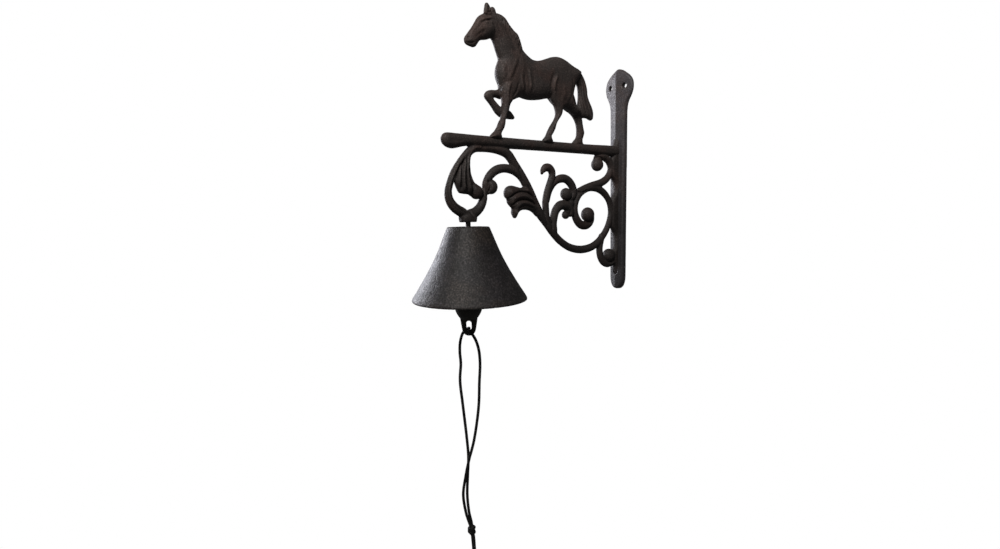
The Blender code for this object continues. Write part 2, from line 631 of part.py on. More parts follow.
def bell_nut():
    top = washer_top() - WASHER_THICK - GAP
    body = rod_mesh("bell_nut", (0.0, BELL_Y, 0.0), NUT_ACROSS / math.sqrt(3.0), top - NUT_THICK, top,
                    segments=6)
    bore = rod_mesh("nut_bore", (0.0, BELL_Y, 0.0), STUD_RADIUS + GAP, top - 9.0, top + 9.0)
    return combine("bell_nut", body, [bore], "DIFFERENCE")


# ------------------------------------------------------------------ link and clapper
def clapper_link():
    """A closed oval of wire, its two bends running across the eye above and the clapper's bore below."""
    top = LINK_TOP_Z - LINK_BEND
    low = top - LINK_STRAIGHT
    path = []
    half_steps = 9
    for i in range(half_steps + 1):
        turn = math.pi * i / half_steps
        path.append((LINK_BEND * math.cos(turn), top + LINK_BEND * math.sin(turn)))
    for i in range(half_steps + 1):
        turn = math.pi + math.pi * i / half_steps
        path.append((LINK_BEND * math.cos(turn), low + LINK_BEND * math.sin(turn)))
    curve = bpy.data.curves.new("clapper_link", "CURVE")
    curve.dimensions = "3D"
    curve.bevel_depth = LINK_WIRE
    curve.bevel_resolution = 2
    spline = curve.splines.new("POLY")
    spline.points.add(len(path) - 1)
    for point, (x, z) in zip(spline.points, path):
        point.co = (x, 0.0, z, 1.0)
    spline.use_cyclic_u = True
    obj = bpy.data.objects.new("clapper_link", curve)
    bpy.context.scene.collection.objects.link(obj)
    mesh = baked(obj, "clapper_link", 0.0005)
    bpy.data.curves.remove(curve)
    return hung(mesh)


def clapper():
    hole_z = CLAPPER_PIVOT_Z + LINK_WIRE + LINK_PLAY - 2.5
    shank = turned_mesh("clapper", [
        (0.0, hole_z - 3.2), (2.6, hole_z - 3.6), (2.9, -92.0), (3.4, -102.0), (5.8, -106.4), (10.0, -110.0),
        (12.4, -113.6), (BALL_RADIUS, BALL_Z), (13.2, -122.6), (12.4, -126.0), (10.4, -130.0), (8.0, -133.2),
        (0.0, -134.0),
    ], 28, (0.0, 0.0, 0.0), closed=False)
    head = []
    for i in range(20):
        turn = 2 * math.pi * i / 20
        head.append((4.7 * math.cos(turn), hole_z + 4.7 * math.sin(turn)))
    eye = outline_mesh("eye", head, -1.25, 1.25, 0.5)
    tail = outline_mesh("tail", [
        (-9.6, -127.0), (-8.6, -132.0), (-7.8, -137.0), (-7.0, -142.0), (-6.2, -145.4), (-4.6, -148.0),
        (-2.4, -149.3), (0.0, -149.7), (2.4, -149.3), (4.6, -148.0), (6.2, -145.4), (7.0, -142.0),
        (7.8, -137.0), (8.6, -132.0), (9.6, -127.0),
    ], -TAIL_HALF_THICK, TAIL_HALF_THICK, 0.8)
    body = combine("clapper", shank, [eye, tail], "UNION")
    bore = rod_mesh("link_bore", (0.0, 0.0, hole_z), 2.5, -10.0, 10.0, "X")
    slot = []
    for i in range(24):
        turn = 2 * math.pi * i / 24
        rise = EYE_SLOT_RISE if math.sin(turn) > 0.0 else -EYE_SLOT_RISE
        slot.append((EYE_SLOT_HALF * math.cos(turn), EYE_SLOT_Z + rise + EYE_SLOT_HALF * math.sin(turn)))
    opening = outline_mesh("slot", slot, -20.0, 20.0, 0.1)
    return hung(combine("clapper", body, [bore, opening], "DIFFERENCE"))


# ------------------------------------------------------------------ pull cord
def side(s, off):
    """A point across the cord's plane: s along it, off square to it."""
    return (0.60 * s + 0.80 * off, BELL_Y + 0.80 * s - 0.60 * off)


def cord_point(s, off, z):
    x, y = side(s, off)
    return (x, y, z)


NEAR_STRAND = [
    cord_point(-1.4, 0.15, CORD_EYE_Z), cord_point(-1.3, 3.0, -143.1), cord_point(-0.6, 5.0, -144.1),
    cord_point(1.6, 5.8, -147.0), cord_point(4.4, 5.2, -152.0), cord_point(6.7, 3.6, -159.0),
    cord_point(8.1, 1.7, -168.0), cord_point(8.4, 0.8, -180.0), cord_point(7.4, 0.6, -196.0),
    cord_point(6.0, 0.7, -222.0), cord_point(1.2, 1.2, -253.0), cord_point(-4.4, 1.6, -274.0),
    cord_point(-8.1, 1.5, -291.0), cord_point(-11.0, 1.0, -310.0), cord_point(-9.0, 1.1, -328.0),
    cord_point(-5.2, 1.4, KNOT_TOP),
]
FAR_STRAND = [
    cord_point(-1.4, -0.15, CORD_EYE_Z), cord_point(-1.6, -3.0, -143.1), cord_point(-3.0, -4.9, -143.9),
    cord_point(-6.2, -5.6, -146.2), cord_point(-8.9, -4.9, -150.6), cord_point(-10.7, -3.4, -158.0),
    cord_point(-11.0, -1.9, -167.0), cord_point(-10.3, -1.0, -178.0), cord_point(-11.4, -0.5, -195.0),
    cord_point(-9.4, -0.5, -218.0), cord_point(-6.5, -1.1, -250.0), cord_point(-5.2, -1.7, -272.0),
    cord_point(-6.2, -1.6, -291.0), cord_point(-7.2, -1.3, -311.0), cord_point(-6.0, -1.3, -329.0),
    cord_point(-3.6, -1.4, KNOT_TOP),
]


def cord_mesh(name, points, per_span):
    route = [(x, y, z, CORD_RADIUS) for x, y, z in smooth_route(points, per_span)]
    return tube_mesh(name, route)


def cord_knot():
    middle = (KNOT_TOP + KNOT_BOTTOM) / 2
    x, y = side(-3.2, 0.0)
    bm = bmesh.new()
    bmesh.ops.create_uvsphere(bm, u_segments=16, v_segments=9, radius=1.0)
    high = (KNOT_TOP - KNOT_BOTTOM) / 2 - GAP
    bmesh.ops.scale(bm, vec=(4.3, 4.3, high + 1.6), verts=bm.verts)
    bmesh.ops.translate(bm, vec=(x, y, middle), verts=bm.verts)
    knot = mesh_of(bm, "cord_knot")
    keep = box_mesh("keep", (x - 9.0, y - 9.0, middle - high), (x + 9.0, y + 9.0, middle + high))
    return combine("cord_knot", knot, [keep], "INTERSECT")


def cord_tail(name, s_top, s_end, off):
    points = [
        cord_point(s_top, off, KNOT_BOTTOM), cord_point(s_top + 0.3, off, KNOT_BOTTOM - 4.0),
        cord_point((s_top + s_end) / 2, off * 1.1, -368.0), cord_point(s_end, off * 1.4, -384.0),
        cord_point(s_end + 0.4, off * 1.8, TAIL_END),
    ]
    return cord_mesh(name, points, 3)


# ------------------------------------------------------------------ assembly
def add_node(name, mesh, mat, col, origin, degrees=35.0):
    mesh.name = name
    obj = link_object(name, mesh, col, origin)
    obj.data.materials.clear()
    obj.data.materials.append(mat)
    shade(obj, degrees)
    return obj


def build():
    clear_objects()
    col = make_collection("wall_mounted_bell")
    root = (0.0, 0.0, 0.0)
    swivel = (0.0, BELL_Y, washer_top())
    link_axis = (PIVOT_X, PIVOT_Y, LINK_TOP_Z)
    clapper_axis = (PIVOT_X, PIVOT_Y, CLAPPER_PIVOT_Z)
    cord_axis = (PIVOT_X, PIVOT_Y, CORD_EYE_Z)

    def iron(name):
        return make_material(name + "_iron", (0.055, 0.042, 0.038), 0.62, 0.35)

    trimmed = [
        ("wall_plate", wall_plate()),
        ("arm_bar", arm_bar()),
        ("horse_figure", horse_figure()),
        ("main_scroll", combine("main_scroll", main_scroll(), [arm_bar(GAP)], "DIFFERENCE")),
        ("hanger_ring", combine("hanger_ring", hanger_ring(), [arm_bar(GAP), main_scroll(GAP)],
                                "DIFFERENCE")),
        ("hanger_leaf", combine("hanger_leaf", hanger_leaf(),
                                [arm_bar(GAP), hanger_ring(GAP), main_scroll(GAP)], "DIFFERENCE")),
        ("small_arch", combine("small_arch", small_arch(),
                               [main_scroll(GAP), hanger_ring(GAP), hanger_leaf(GAP)], "DIFFERENCE")),
        ("acanthus_leaf", combine("acanthus_leaf", acanthus_leaf(), [main_scroll(GAP)], "DIFFERENCE")),
        ("tendril_hook", combine("tendril_hook", tendril_hook(), [main_scroll(GAP)], "DIFFERENCE")),
        ("tendril_arch", combine("tendril_arch", tendril_arch(),
                                 [tendril_hook(GAP), main_scroll(GAP)], "DIFFERENCE")),
        ("leaf_stem", combine("leaf_stem", leaf_stem(),
                              [tendril_hook(GAP), tendril_arch(GAP), main_scroll(GAP)], "DIFFERENCE")),
        ("upper_curl", combine("upper_curl", upper_curl(), [arm_bar(GAP), main_scroll(GAP)], "DIFFERENCE")),
        ("lower_curl", combine("lower_curl", lower_curl(), [main_scroll(GAP)], "DIFFERENCE")),
    ]
    for name, mesh in trimmed:
        add_node(name, mesh, iron(name), col, root)

    bell_mat = make_material("bell_black_iron", (0.035, 0.035, 0.038), 0.55, 0.35)
    steel = make_material("dark_steel", (0.12, 0.11, 0.10), 0.45, 0.9)
    clapper_mat = make_material("clapper_iron", (0.03, 0.028, 0.028), 0.55, 0.4)
    cord_mat = make_material("black_cord", (0.012, 0.012, 0.012), 0.85, 0.0)

    add_node("hanger_eye_bolt", hanger_eye_bolt(), steel, col, root)
    add_node("bell_washer", bell_washer(), steel, col, root)
    add_node("bell_nut", bell_nut(), steel, col, root)
    add_node("bell", bell(), bell_mat, col, swivel, 28.0)
    add_node("clapper_link", clapper_link(), steel, col, link_axis)
    add_node("clapper", clapper(), clapper_mat, col, clapper_axis)
    add_node("cord_near_strand", cord_mesh("cord_near_strand", NEAR_STRAND, 5), cord_mat, col, cord_axis)
    add_node("cord_far_strand", cord_mesh("cord_far_strand", FAR_STRAND, 5), cord_mat, col, cord_axis)
    add_node("cord_knot", cord_knot(), cord_mat, col, cord_axis)
    add_node("cord_near_tail", cord_tail("cord_near_tail", -1.6, -0.2, 1.35), cord_mat, col, cord_axis)
    add_node("cord_far_tail", cord_tail("cord_far_tail", -3.2, -1.6, -1.35), cord_mat, col, cord_axis)


build()
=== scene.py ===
"""Looks for the wall mounted bell: a cast iron bracket with a walking horse, a bell, a clapper and a cord.

Lengths are millimetres until a piece is finished, when its mesh is turned into metres. The frame is the CAD
part's own: the wall is the plane Y = 0, the arm runs along -Y in the plane X = 0, and +Z is up.
"""

import math

import bmesh
import bpy
import numpy as np
from mathutils import Matrix, Vector, noise


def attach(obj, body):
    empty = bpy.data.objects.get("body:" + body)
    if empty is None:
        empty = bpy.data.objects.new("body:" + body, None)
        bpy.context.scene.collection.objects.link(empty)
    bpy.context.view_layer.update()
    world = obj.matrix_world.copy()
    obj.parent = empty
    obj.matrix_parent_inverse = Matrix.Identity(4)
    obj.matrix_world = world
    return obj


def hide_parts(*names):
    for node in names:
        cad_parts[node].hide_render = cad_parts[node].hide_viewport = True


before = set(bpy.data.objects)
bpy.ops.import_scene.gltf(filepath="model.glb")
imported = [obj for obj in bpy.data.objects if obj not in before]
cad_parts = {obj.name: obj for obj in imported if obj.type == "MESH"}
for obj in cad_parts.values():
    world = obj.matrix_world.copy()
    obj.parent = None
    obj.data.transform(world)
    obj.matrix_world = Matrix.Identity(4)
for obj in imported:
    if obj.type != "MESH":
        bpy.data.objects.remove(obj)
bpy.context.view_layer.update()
MM = 0.001

# ---- camera
CAMERA_PLACE = (0.4403, -0.5071, -0.0321)
CAMERA_LENS = 20.13
CAMERA_AZIMUTH = 53.05          # degrees, 0 looks along +Y
CAMERA_PITCH = 6.37             # degrees down
CAMERA_ROLL = -0.99

FLOOR_Z = -0.62
FLOOR_HALF = 14.0

# ---- driving sizes, as in the CAD part
BELL_Y = -212.5
BELL_TOP = -45.3
BELL_RIM = -115.4
BELL_CROWN = 4.5
BELL_BORE = 3.1
STUD_RADIUS = 2.6
STUD_TOP = -33.9
EYE_CENTRE_Z = -62.0
EYE_RING = 4.2
EYE_WIRE = 1.5
HANG_TURN = math.radians(-36.87)
PIVOT_X = -0.84
PIVOT_Y = BELL_Y - 1.12
LINK_WIRE = 1.1
LINK_BEND = 4.0
LINK_STRAIGHT = 6.0
LINK_TOP_Z = -63.4
CLAPPER_PIVOT_Z = LINK_TOP_Z - 2 * LINK_BEND - LINK_STRAIGHT
CORD_RADIUS = 1.25
CORD_PLUMP = 1.12               # how far the cord's surface stands out of that, as it reads in the photograph
CORD_PLIES = 3
CORD_PITCH = 7.0
CORD_EYE_Z = -143.2
KNOT_TOP = -341.5
KNOT_BOTTOM = -354.5
KNOT_MIDDLE = (KNOT_TOP + KNOT_BOTTOM) / 2
TAIL_END = -399.0

WASHER_GAP = 0.3                # between the washer and the bell's crown, and the washer and the nut
WASHER_RADIUS = 6.5
WASHER_THICK = 1.0
NUT_HALF_FLATS = 4.5
NUT_THICK = 3.5
CLAPPER_BORE = 2.5
SLOT_HALF = 2.55                # the slot in the clapper's tail: half its width, its middle, half its sides
SLOT_Z = -139.85
SLOT_RISE = 2.3

# ---- fineness of the meshes
VOXEL = 0.6
MOST_TRIANGLES = 190000         # the bracket's scrollwork, if it has more, is thinned where it is flattest
THICKEST = 10.0                 # half thickness of the slab that a swollen shape starts as
CORD_SIDES = 20
CORD_STEP = 0.36


# ------------------------------------------------------------------ camera, lights, floor
def make_camera():
    data = bpy.data.cameras.new("camera")
    data.lens = CAMERA_LENS
    data.sensor_width = 36.0
    data.clip_start = 0.01
    camera = bpy.data.objects.new("camera", data)
    azimuth = math.radians(CAMERA_AZIMUTH)
    pitch = math.radians(CAMERA_PITCH)
    roll = math.radians(CAMERA_ROLL)
    forward = Vector((-math.sin(azimuth) * math.cos(pitch), math.cos(azimuth) * math.cos(pitch),
                      -math.sin(pitch)))
    right = Vector((math.cos(azimuth), math.sin(azimuth), 0.0))
    up = right.cross(forward)
    side = right * math.cos(roll) + up * math.sin(roll)
    above = up * math.cos(roll) - right * math.sin(roll)
    turn = Matrix((side, above, -forward)).transposed().to_4x4()
    camera.matrix_world = Matrix.Translation(CAMERA_PLACE) @ turn
    bpy.context.scene.collection.objects.link(camera)
    bpy.context.scene.camera = camera


def make_world():
    """A white surround for the camera, and a much dimmer one that lights the object."""
    world = bpy.data.worlds.new("studio")
    world.use_nodes = True
    tree = world.node_tree
    tree.nodes.clear()
    out = tree.nodes.new("ShaderNodeOutputWorld")
    mix = tree.nodes.new("ShaderNodeMixShader")
    path = tree.nodes.new("ShaderNodeLightPath")
    for socket, colour, strength in ((1, (0.93, 0.96, 1.0, 1.0), 0.12), (2, (1.0, 1.0, 1.0, 1.0), 1.0)):
        shade = tree.nodes.new("ShaderNodeBackground")
        shade.inputs["Color"].default_value = colour
        shade.inputs["Strength"].default_value = strength
        tree.links.new(shade.outputs["Background"], mix.inputs[socket])
    tree.links.new(path.outputs["Is Camera Ray"], mix.inputs["Fac"])
    tree.links.new(mix.outputs["Shader"], out.inputs["Surface"])
    bpy.context.scene.world = world
    bpy.context.scene.view_settings.view_transform = "Standard"


def add_light(name, place, aim, size, power, colour):
    data = bpy.data.lights.new(name, "AREA")
    data.shape = "DISK"
    data.size = size
    data.energy = power
    data.color = colour
    light = bpy.data.objects.new(name, data)
    light.location = place
    light.rotation_euler = (Vector(aim) - Vector(place)).to_track_quat("-Z", "Y").to_euler()
    bpy.context.scene.collection.objects.link(light)


def make_lights():
    add_light("window_left", (-1.45, -0.52, 0.30), (0.0, -0.1, 0.02), 1.0, 30.0, (0.91, 0.92, 1.0))
    add_light("front_high", (0.85, -1.35, 1.3), (0.0, -0.16, 0.04), 0.8, 36.0, (1.0, 0.985, 0.97))


def make_floor():
    """A white floor of pure emission, hidden from diffuse and glossy rays: it takes no shadow."""
    mesh = bpy.data.meshes.new("floor")
    corners = [(x * FLOOR_HALF, y * FLOOR_HALF, FLOOR_Z) for x, y in ((-1, -1), (1, -1), (1, 1), (-1, 1))]
    mesh.from_pydata(corners, [], [(0, 1, 2, 3)])
    floor = bpy.data.objects.new("floor", mesh)
    mat = bpy.data.materials.new("pale_floor")
    mat.use_nodes = True
    tree = mat.node_tree
    tree.nodes.clear()
    out = tree.nodes.new("ShaderNodeOutputMaterial")
    white = tree.nodes.new("ShaderNodeEmission")
    white.inputs["Color"].default_value = (1.0, 1.0, 1.0, 1.0)
    white.inputs["Strength"].default_value = 1.0
    tree.links.new(white.outputs["Emission"], out.inputs["Surface"])
    mesh.materials.append(mat)
    floor.visible_diffuse = False
    floor.visible_glossy = False
    bpy.context.scene.collection.objects.link(floor)


# ------------------------------------------------------------------ routes and cords first
def smooth_route(points, per_span, closed=False):
    """A smooth line through the given points, any number of values a point."""
    out = []
    count = len(points)
    spans = count if closed else count - 1
    for i in range(spans):
        if closed:
            p0, p1, p2, p3 = (points[(i + k) % count] for k in (-1, 0, 1, 2))
        else:
            p0, p1, p2, p3 = points[max(i - 1, 0)], points[i], points[i + 1], points[min(i + 2, count - 1)]
        for k in range(per_span):
            t = k / per_span
            value = []
            for a, b, c, d in zip(p0, p1, p2, p3):
                value.append(0.5 * (2 * b + (c - a) * t + (2 * a - 5 * b + 4 * c - d) * t * t
                                    + (3 * b - a - 3 * c + d) * t ** 3))
            out.append(tuple(value))
    if not closed:
        out.append(tuple(points[-1]))
    return out


def cord_point(s, off, z):
    """A point of the cord's route: s along the plane it hangs in, off square to that plane."""
    return (0.60 * s + 0.80 * off, BELL_Y + 0.80 * s - 0.60 * off, z)


def cord_route(points):
    return [cord_point(s, off, z) for s, off, z in points]


NEAR_STRAND = cord_route([
    (-1.4, 0, CORD_EYE_Z), (-1.3, 3, -143.1), (-0.6, 5, -144.1), (1.6, 5.8, -147), (4.4, 5.2, -152),
    (6.7, 3.6, -159), (8.1, 1.7, -168), (8.4, 0.8, -180), (7.4, 0.6, -196), (6, 0.7, -222), (1.2, 1.2, -253),
    (-4.4, 1.6, -274), (-8.1, 1.5, -291), (-11, 1, -310), (-9, 1.1, -328), (-5.2, 1.4, KNOT_TOP),
    (-3, 1.3, KNOT_MIDDLE), (-1.6, 1.35, KNOT_BOTTOM), (-0.9, 1.5, -368), (-0.2, 1.9, -384),
    (0.2, 2.4, TAIL_END),
])
FAR_STRAND = cord_route([
    (-1.4, 0, CORD_EYE_Z), (-1.6, -3, -143.1), (-3, -4.9, -143.9), (-6.2, -5.6, -146.2),
    (-8.9, -4.9, -150.6), (-10.7, -3.4, -158), (-11, -1.9, -167), (-10.3, -1, -178), (-11.4, -0.5, -195),
    (-9.4, -0.5, -218), (-6.5, -1.1, -250), (-5.2, -1.7, -272), (-6.2, -1.6, -291), (-7.2, -1.3, -311),
    (-6, -1.3, -329), (-3.6, -1.4, KNOT_TOP), (-3.4, -1.3, KNOT_MIDDLE), (-3.2, -1.35, KNOT_BOTTOM),
    (-2.4, -1.5, -368), (-1.6, -1.9, -384), (-1.2, -2.4, TAIL_END),
])


# ------------------------------------------------------------------ mesh helpers
def mesh_of(bm):
    mesh = bpy.data.meshes.new("work")
    bm.to_mesh(mesh)
    bm.free()
    return mesh


def baked(obj):
    """The evaluated mesh of an object; the object is taken away."""
    bpy.context.view_layer.update()
    graph = bpy.context.evaluated_depsgraph_get()
    mesh = bpy.data.meshes.new_from_object(obj.evaluated_get(graph))
    mesh.transform(obj.matrix_world)
    bpy.data.objects.remove(obj, do_unlink=True)
    return mesh


def temp_object(mesh):
    obj = bpy.data.objects.new("work", mesh)
    bpy.context.scene.collection.objects.link(obj)
    return obj


def coords(mesh):
    co = np.empty(len(mesh.vertices) * 3)
    mesh.vertices.foreach_get("co", co)
    return co.reshape(-1, 3)


def set_coords(mesh, co):
    mesh.vertices.foreach_set("co", np.ascontiguousarray(co, float).ravel())
    mesh.update()


def normals(mesh):
    out = np.empty(len(mesh.vertices) * 3, np.float32)
    mesh.vertex_normals.foreach_get("vector", out)
    return out.reshape(-1, 3).astype(float)


def relax(mesh, rounds, keep):
    """Even out a mesh: each round moves a point to the middle of its neighbours, keep gives part back."""
    edges = np.empty(len(mesh.edges) * 2, np.int32)
    mesh.edges.foreach_get("vertices", edges)
    a, b = edges.reshape(-1, 2).T
    co = coords(mesh)
    count = len(co)
    share = np.bincount(a, minlength=count) + np.bincount(b, minlength=count)
    share = np.maximum(share, 1)[:, None]

    def middle(points):
        out = np.empty_like(points)
        for k in range(3):
            out[:, k] = (np.bincount(a, points[b, k], count) + np.bincount(b, points[a, k], count))
        return out / share

    for _ in range(rounds):
        co = co + 0.6 * (middle(co) - co)
        co = co - keep * (middle(co) - co)
    set_coords(mesh, co)
    return mesh


def reskinned(mesh, voxel):
    """One closed skin of even small faces round everything in a mesh."""
    obj = temp_object(mesh)
    mod = obj.modifiers.new("skin", "REMESH")
    mod.mode = "VOXEL"
    mod.voxel_size = voxel
    return baked(obj)


def fused(meshes, voxel, rounds, keep):
    """Several closed shapes as one skin, with the corners between them filled a little, as in a casting."""
    bm = bmesh.new()
    for mesh in meshes:
        bm.from_mesh(mesh)
    return relax(reskinned(mesh_of(bm), voxel), rounds, keep)


def lofted(rows, closed=False):
    """A mesh of the faces between rows of points, closed on itself or with a cap on each end.

    A row of one point is a tip.
    """
    bm = bmesh.new()
    rows = [[bm.verts.new(point) for point in row] for row in rows]
    for low, high in zip(rows, rows[1:] + (rows[:1] if closed else [])):
        count = max(len(low), len(high))
        for k in range(count):
            m = (k + 1) % count
            if len(low) == 1:
                bm.faces.new((low[0], high[m], high[k]))
            elif len(high) == 1:
                bm.faces.new((low[k], low[m], high[0]))
            else:
                bm.faces.new((low[k], low[m], high[m], high[k]))
    for cap in () if closed else (rows[0], rows[-1][::-1]):
        if len(cap) > 1:
            bm.faces.new(cap)
    bmesh.ops.recalc_face_normals(bm, faces=bm.faces)
    return mesh_of(bm)


def circle(steps):
    """The cosine and sine of even angles once round."""
    turns = [2 * math.pi * k / steps for k in range(steps)]
    return [(math.cos(turn), math.sin(turn)) for turn in turns]


def squared(value, power):
    """A cosine or sine whose circle comes nearer to a square below a power of 1, to a lozenge above it."""
    return math.copysign(abs(value) ** power, value)


def tube(route, sides=16, flat=1.0, power=2.0, closed=False):
    """A bar along a route of (x, y, z, radius), with round ends; flat narrows it across X.

    Its section is a circle at a power of 2, and comes nearer to a lozenge below that.
    """
    route = np.array(route, float)
    centre = route[:, :3]
    radius = route[:, 3]
    if closed:
        tangent = np.roll(centre, -1, 0) - np.roll(centre, 1, 0)
    else:
        tangent = np.gradient(centre, axis=0)
    tangent /= np.linalg.norm(tangent, axis=1)[:, None]
    across = np.array([1.0, 0.0, 0.0])
    if abs(tangent[0] @ across) > 0.8:
        across = np.array([0.0, 1.0, 0.0])
    stations = []
    for i in range(len(route)):
        across = across - tangent[i] * (across @ tangent[i])
        across = across / np.linalg.norm(across)
        stations.append((centre[i], across.copy(), np.cross(tangent[i], across), radius[i]))
    if not closed:
        dome = [(t, math.sqrt(1 - t * t)) for t in (0.97, 0.8, 0.5, 0.18)]
        place, u, v, r = stations[0]
        head = [(place - tangent[0] * r * t, u, v, r * small) for t, small in dome]
        place, u, v, r = stations[-1]
        tail = [(place + tangent[-1] * r * t, u, v, r * small) for t, small in reversed(dome)]
        stations = head + stations + tail
    power = 2 / power
    return lofted([[place + u * (r * flat * squared(c, power)) + v * (r * squared(s, power))
                    for c, s in circle(sides)] for place, u, v, r in stations], closed)


def ball(centre, radius, flat=1.0):
    bm = bmesh.new()
    bmesh.ops.create_icosphere(bm, subdivisions=3, radius=radius)
    bmesh.ops.scale(bm, vec=(flat, 1.0, 1.0), verts=bm.verts)
    bmesh.ops.translate(bm, vec=centre, verts=bm.verts)
    return mesh_of(bm)


def slab(outline, low, high):
    """A flat shape given by (y, z) points between two values of x."""
    bm = bmesh.new()
    face = bm.faces.new([bm.verts.new((low, y, z)) for y, z in outline])
    made = bmesh.ops.extrude_face_region(bm, geom=[face])
    moved = [item for item in made["geom"] if isinstance(item, bmesh.types.BMVert)]
    bmesh.ops.translate(bm, vec=(high - low, 0, 0), verts=moved)
    bmesh.ops.recalc_face_normals(bm, faces=bm.faces)
    return mesh_of(bm)


def line_distance(y, z, line, closed=False):
    """Each point's distance to a broken line, and how far along it the nearest point lies (0 to 1)."""
    line = np.array(line, float)
    ends = np.vstack([line, line[:1]]) if closed else line
    best = np.full(len(y), 1e9)
    along = np.zeros(len(y))
    lengths = np.linalg.norm(np.diff(ends, axis=0), axis=1)
    total = lengths.sum()
    passed = 0.0
    for (ay, az), (by, bz), length in zip(ends[:-1], ends[1:], lengths):
        dy, dz = by - ay, bz - az
        t = np.clip(((y - ay) * dy + (z - az) * dz) / max(length * length, 1e-9), 0.0, 1.0)
        d = np.hypot(y - ay - t * dy, z - az - t * dz)
        closer = d < best
        best = np.where(closer, d, best)
        along = np.where(closer, (passed + t * length) / total, along)
        passed += length
    return best, along


def swollen(outline, half, edge, x=0.0, power=2.0, span=3, voxel=0.7):
    """A flat shape whose thickness swells from its outline over the distance edge, to half each side of x.

    half is a number, or a function of (y, z) that gives one and stays under THICKEST.
    """
    line = smooth_route(outline, span, closed=True)
    even = isinstance(half, (int, float))
    top = half if even else THICKEST
    mesh = reskinned(slab(line, -top, top), voxel)
    co = coords(mesh)
    inside, _ = line_distance(co[:, 1], co[:, 2], line, closed=True)
    share = np.clip(inside / edge, 0.0, 1.0)
    high = (1.0 - (1.0 - share) ** power) ** (1.0 / power)
    thick = half if even else half(co[:, 1], co[:, 2])
    co[:, 0] = x + co[:, 0] / top * thick * high
    set_coords(mesh, co)
    return mesh


def carve(mesh, strokes):
    """Raise or sink the two faces of a casting along lines: (points, width, height) does it to both faces,
    and a fourth value of 1 or -1 to the +X or the -X face only. The height fades at a line's ends."""
    co = coords(mesh)
    facing = normals(mesh)[:, 0]
    push = np.zeros(len(co))
    for points, width, height, *side in strokes:
        if len(points) == 1:
            distance = np.hypot(co[:, 1] - points[0][0], co[:, 2] - points[0][1])
            fade = 1.0
        else:
            distance, along = line_distance(co[:, 1], co[:, 2], smooth_route(points, 4))
            fade = np.clip(np.minimum(along, 1.0 - along) * 6.0 + 0.25, 0.0, 1.0)
        amount = height * fade * np.exp(-(distance / width) ** 2)
        if side:
            amount = amount * (facing * side[0] > 0.0)
        push += amount
    co[:, 0] += push * facing
    set_coords(mesh, co)


def roughened(mesh, height, size):
    """Cast surface: small uneven bumps along the normals."""
    co = coords(mesh)
    out = normals(mesh)
    bumps = np.array([noise.noise(Vector(p) / size) + 0.5 * noise.noise(Vector(p) * 2.3 / size) for p in co])
    set_coords(mesh, co + out * (height * bumps)[:, None])
    return mesh


def thinned(mesh):
    """The same surface with at most MOST_TRIANGLES triangles."""
    mesh.calc_loop_triangles()
    count = len(mesh.loop_triangles)
    if count <= MOST_TRIANGLES:
        return mesh
    obj = temp_object(mesh)
    mod = obj.modifiers.new("fewer", "DECIMATE")
    mod.ratio = MOST_TRIANGLES / count
    return baked(obj)


def finish_piece(name, mesh, material, body, nodes, smooth=60.0):
    """Turn a mesh in millimetres into a piece of the object in metres."""
    mesh.transform(Matrix.Scale(MM, 4))
    mesh.name = name
    mesh.materials.clear()
    mesh.materials.append(material)
    mesh.shade_smooth()
    if smooth < 180.0:
        mesh.set_sharp_from_angle(angle=math.radians(smooth))
    obj = bpy.data.objects.new(name, mesh)
    bpy.context.scene.collection.objects.link(obj)
    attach(obj, body)
    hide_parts(*nodes)
    return obj


# ------------------------------------------------------------------ materials
def noise_node(tree, place, size, detail, rough=0.55):
    node = tree.nodes.new("ShaderNodeTexNoise")
    node.inputs["Scale"].default_value = 1.0 / (size * MM)
    node.inputs["Detail"].default_value = detail
    node.inputs["Roughness"].default_value = rough
    tree.links.new(place, node.inputs["Vector"])
    return node


def ramp_node(tree, value, stops):
    node = tree.nodes.new("ShaderNodeValToRGB")
    ramp = node.color_ramp
    while len(ramp.elements) < len(stops):
        ramp.elements.new(0.5)
    for element, (place, colour) in zip(ramp.elements, stops):
        element.position = place
        element.color = (colour[0], colour[1], colour[2], 1.0)
    tree.links.new(value, node.inputs["Fac"])
    return node


def bump_node(tree, height, distance, strength, before=None):
    node = tree.nodes.new("ShaderNodeBump")
    node.inputs["Distance"].default_value = distance * MM
    node.inputs["Strength"].default_value = strength
    tree.links.new(height, node.inputs["Height"])
    if before is not None:
        tree.links.new(before, node.inputs["Normal"])
    return node


def mixed(tree, share, first, second, kind):
    """Mix two colours, by a share that another node gives or in full; second may be a plain colour."""
    node = tree.nodes.new("ShaderNodeMix")
    node.data_type = "RGBA"
    node.blend_type = kind
    node.clamp_result = False
    node.inputs[0].default_value = 1.0
    if share is not None:
        tree.links.new(share, node.inputs[0])
    tree.links.new(first, node.inputs[6])
    if isinstance(second, tuple):
        node.inputs[7].default_value = (second[0], second[1], second[2], 1.0)
    else:
        tree.links.new(second, node.inputs[7])
    return node.outputs[2]


def new_material(name):
    """A material, its nodes, its shader and the object's own coordinates."""
    mat = bpy.data.materials.new(name)
    mat.use_nodes = True
    tree = mat.node_tree
    return mat, tree, tree.nodes["Principled BSDF"], tree.nodes.new("ShaderNodeTexCoord").outputs["Object"]


def range_node(tree, value, start, end):
    """A value taken from one range to another: start is where it begins and what it gives there."""
    node = tree.nodes.new("ShaderNodeMapRange")
    node.inputs["From Min"].default_value, node.inputs["To Min"].default_value = start
    node.inputs["From Max"].default_value, node.inputs["To Max"].default_value = end
    tree.links.new(value, node.inputs["Value"])
    return node.outputs["Result"]


def grey(value):
    return (value, value, value)


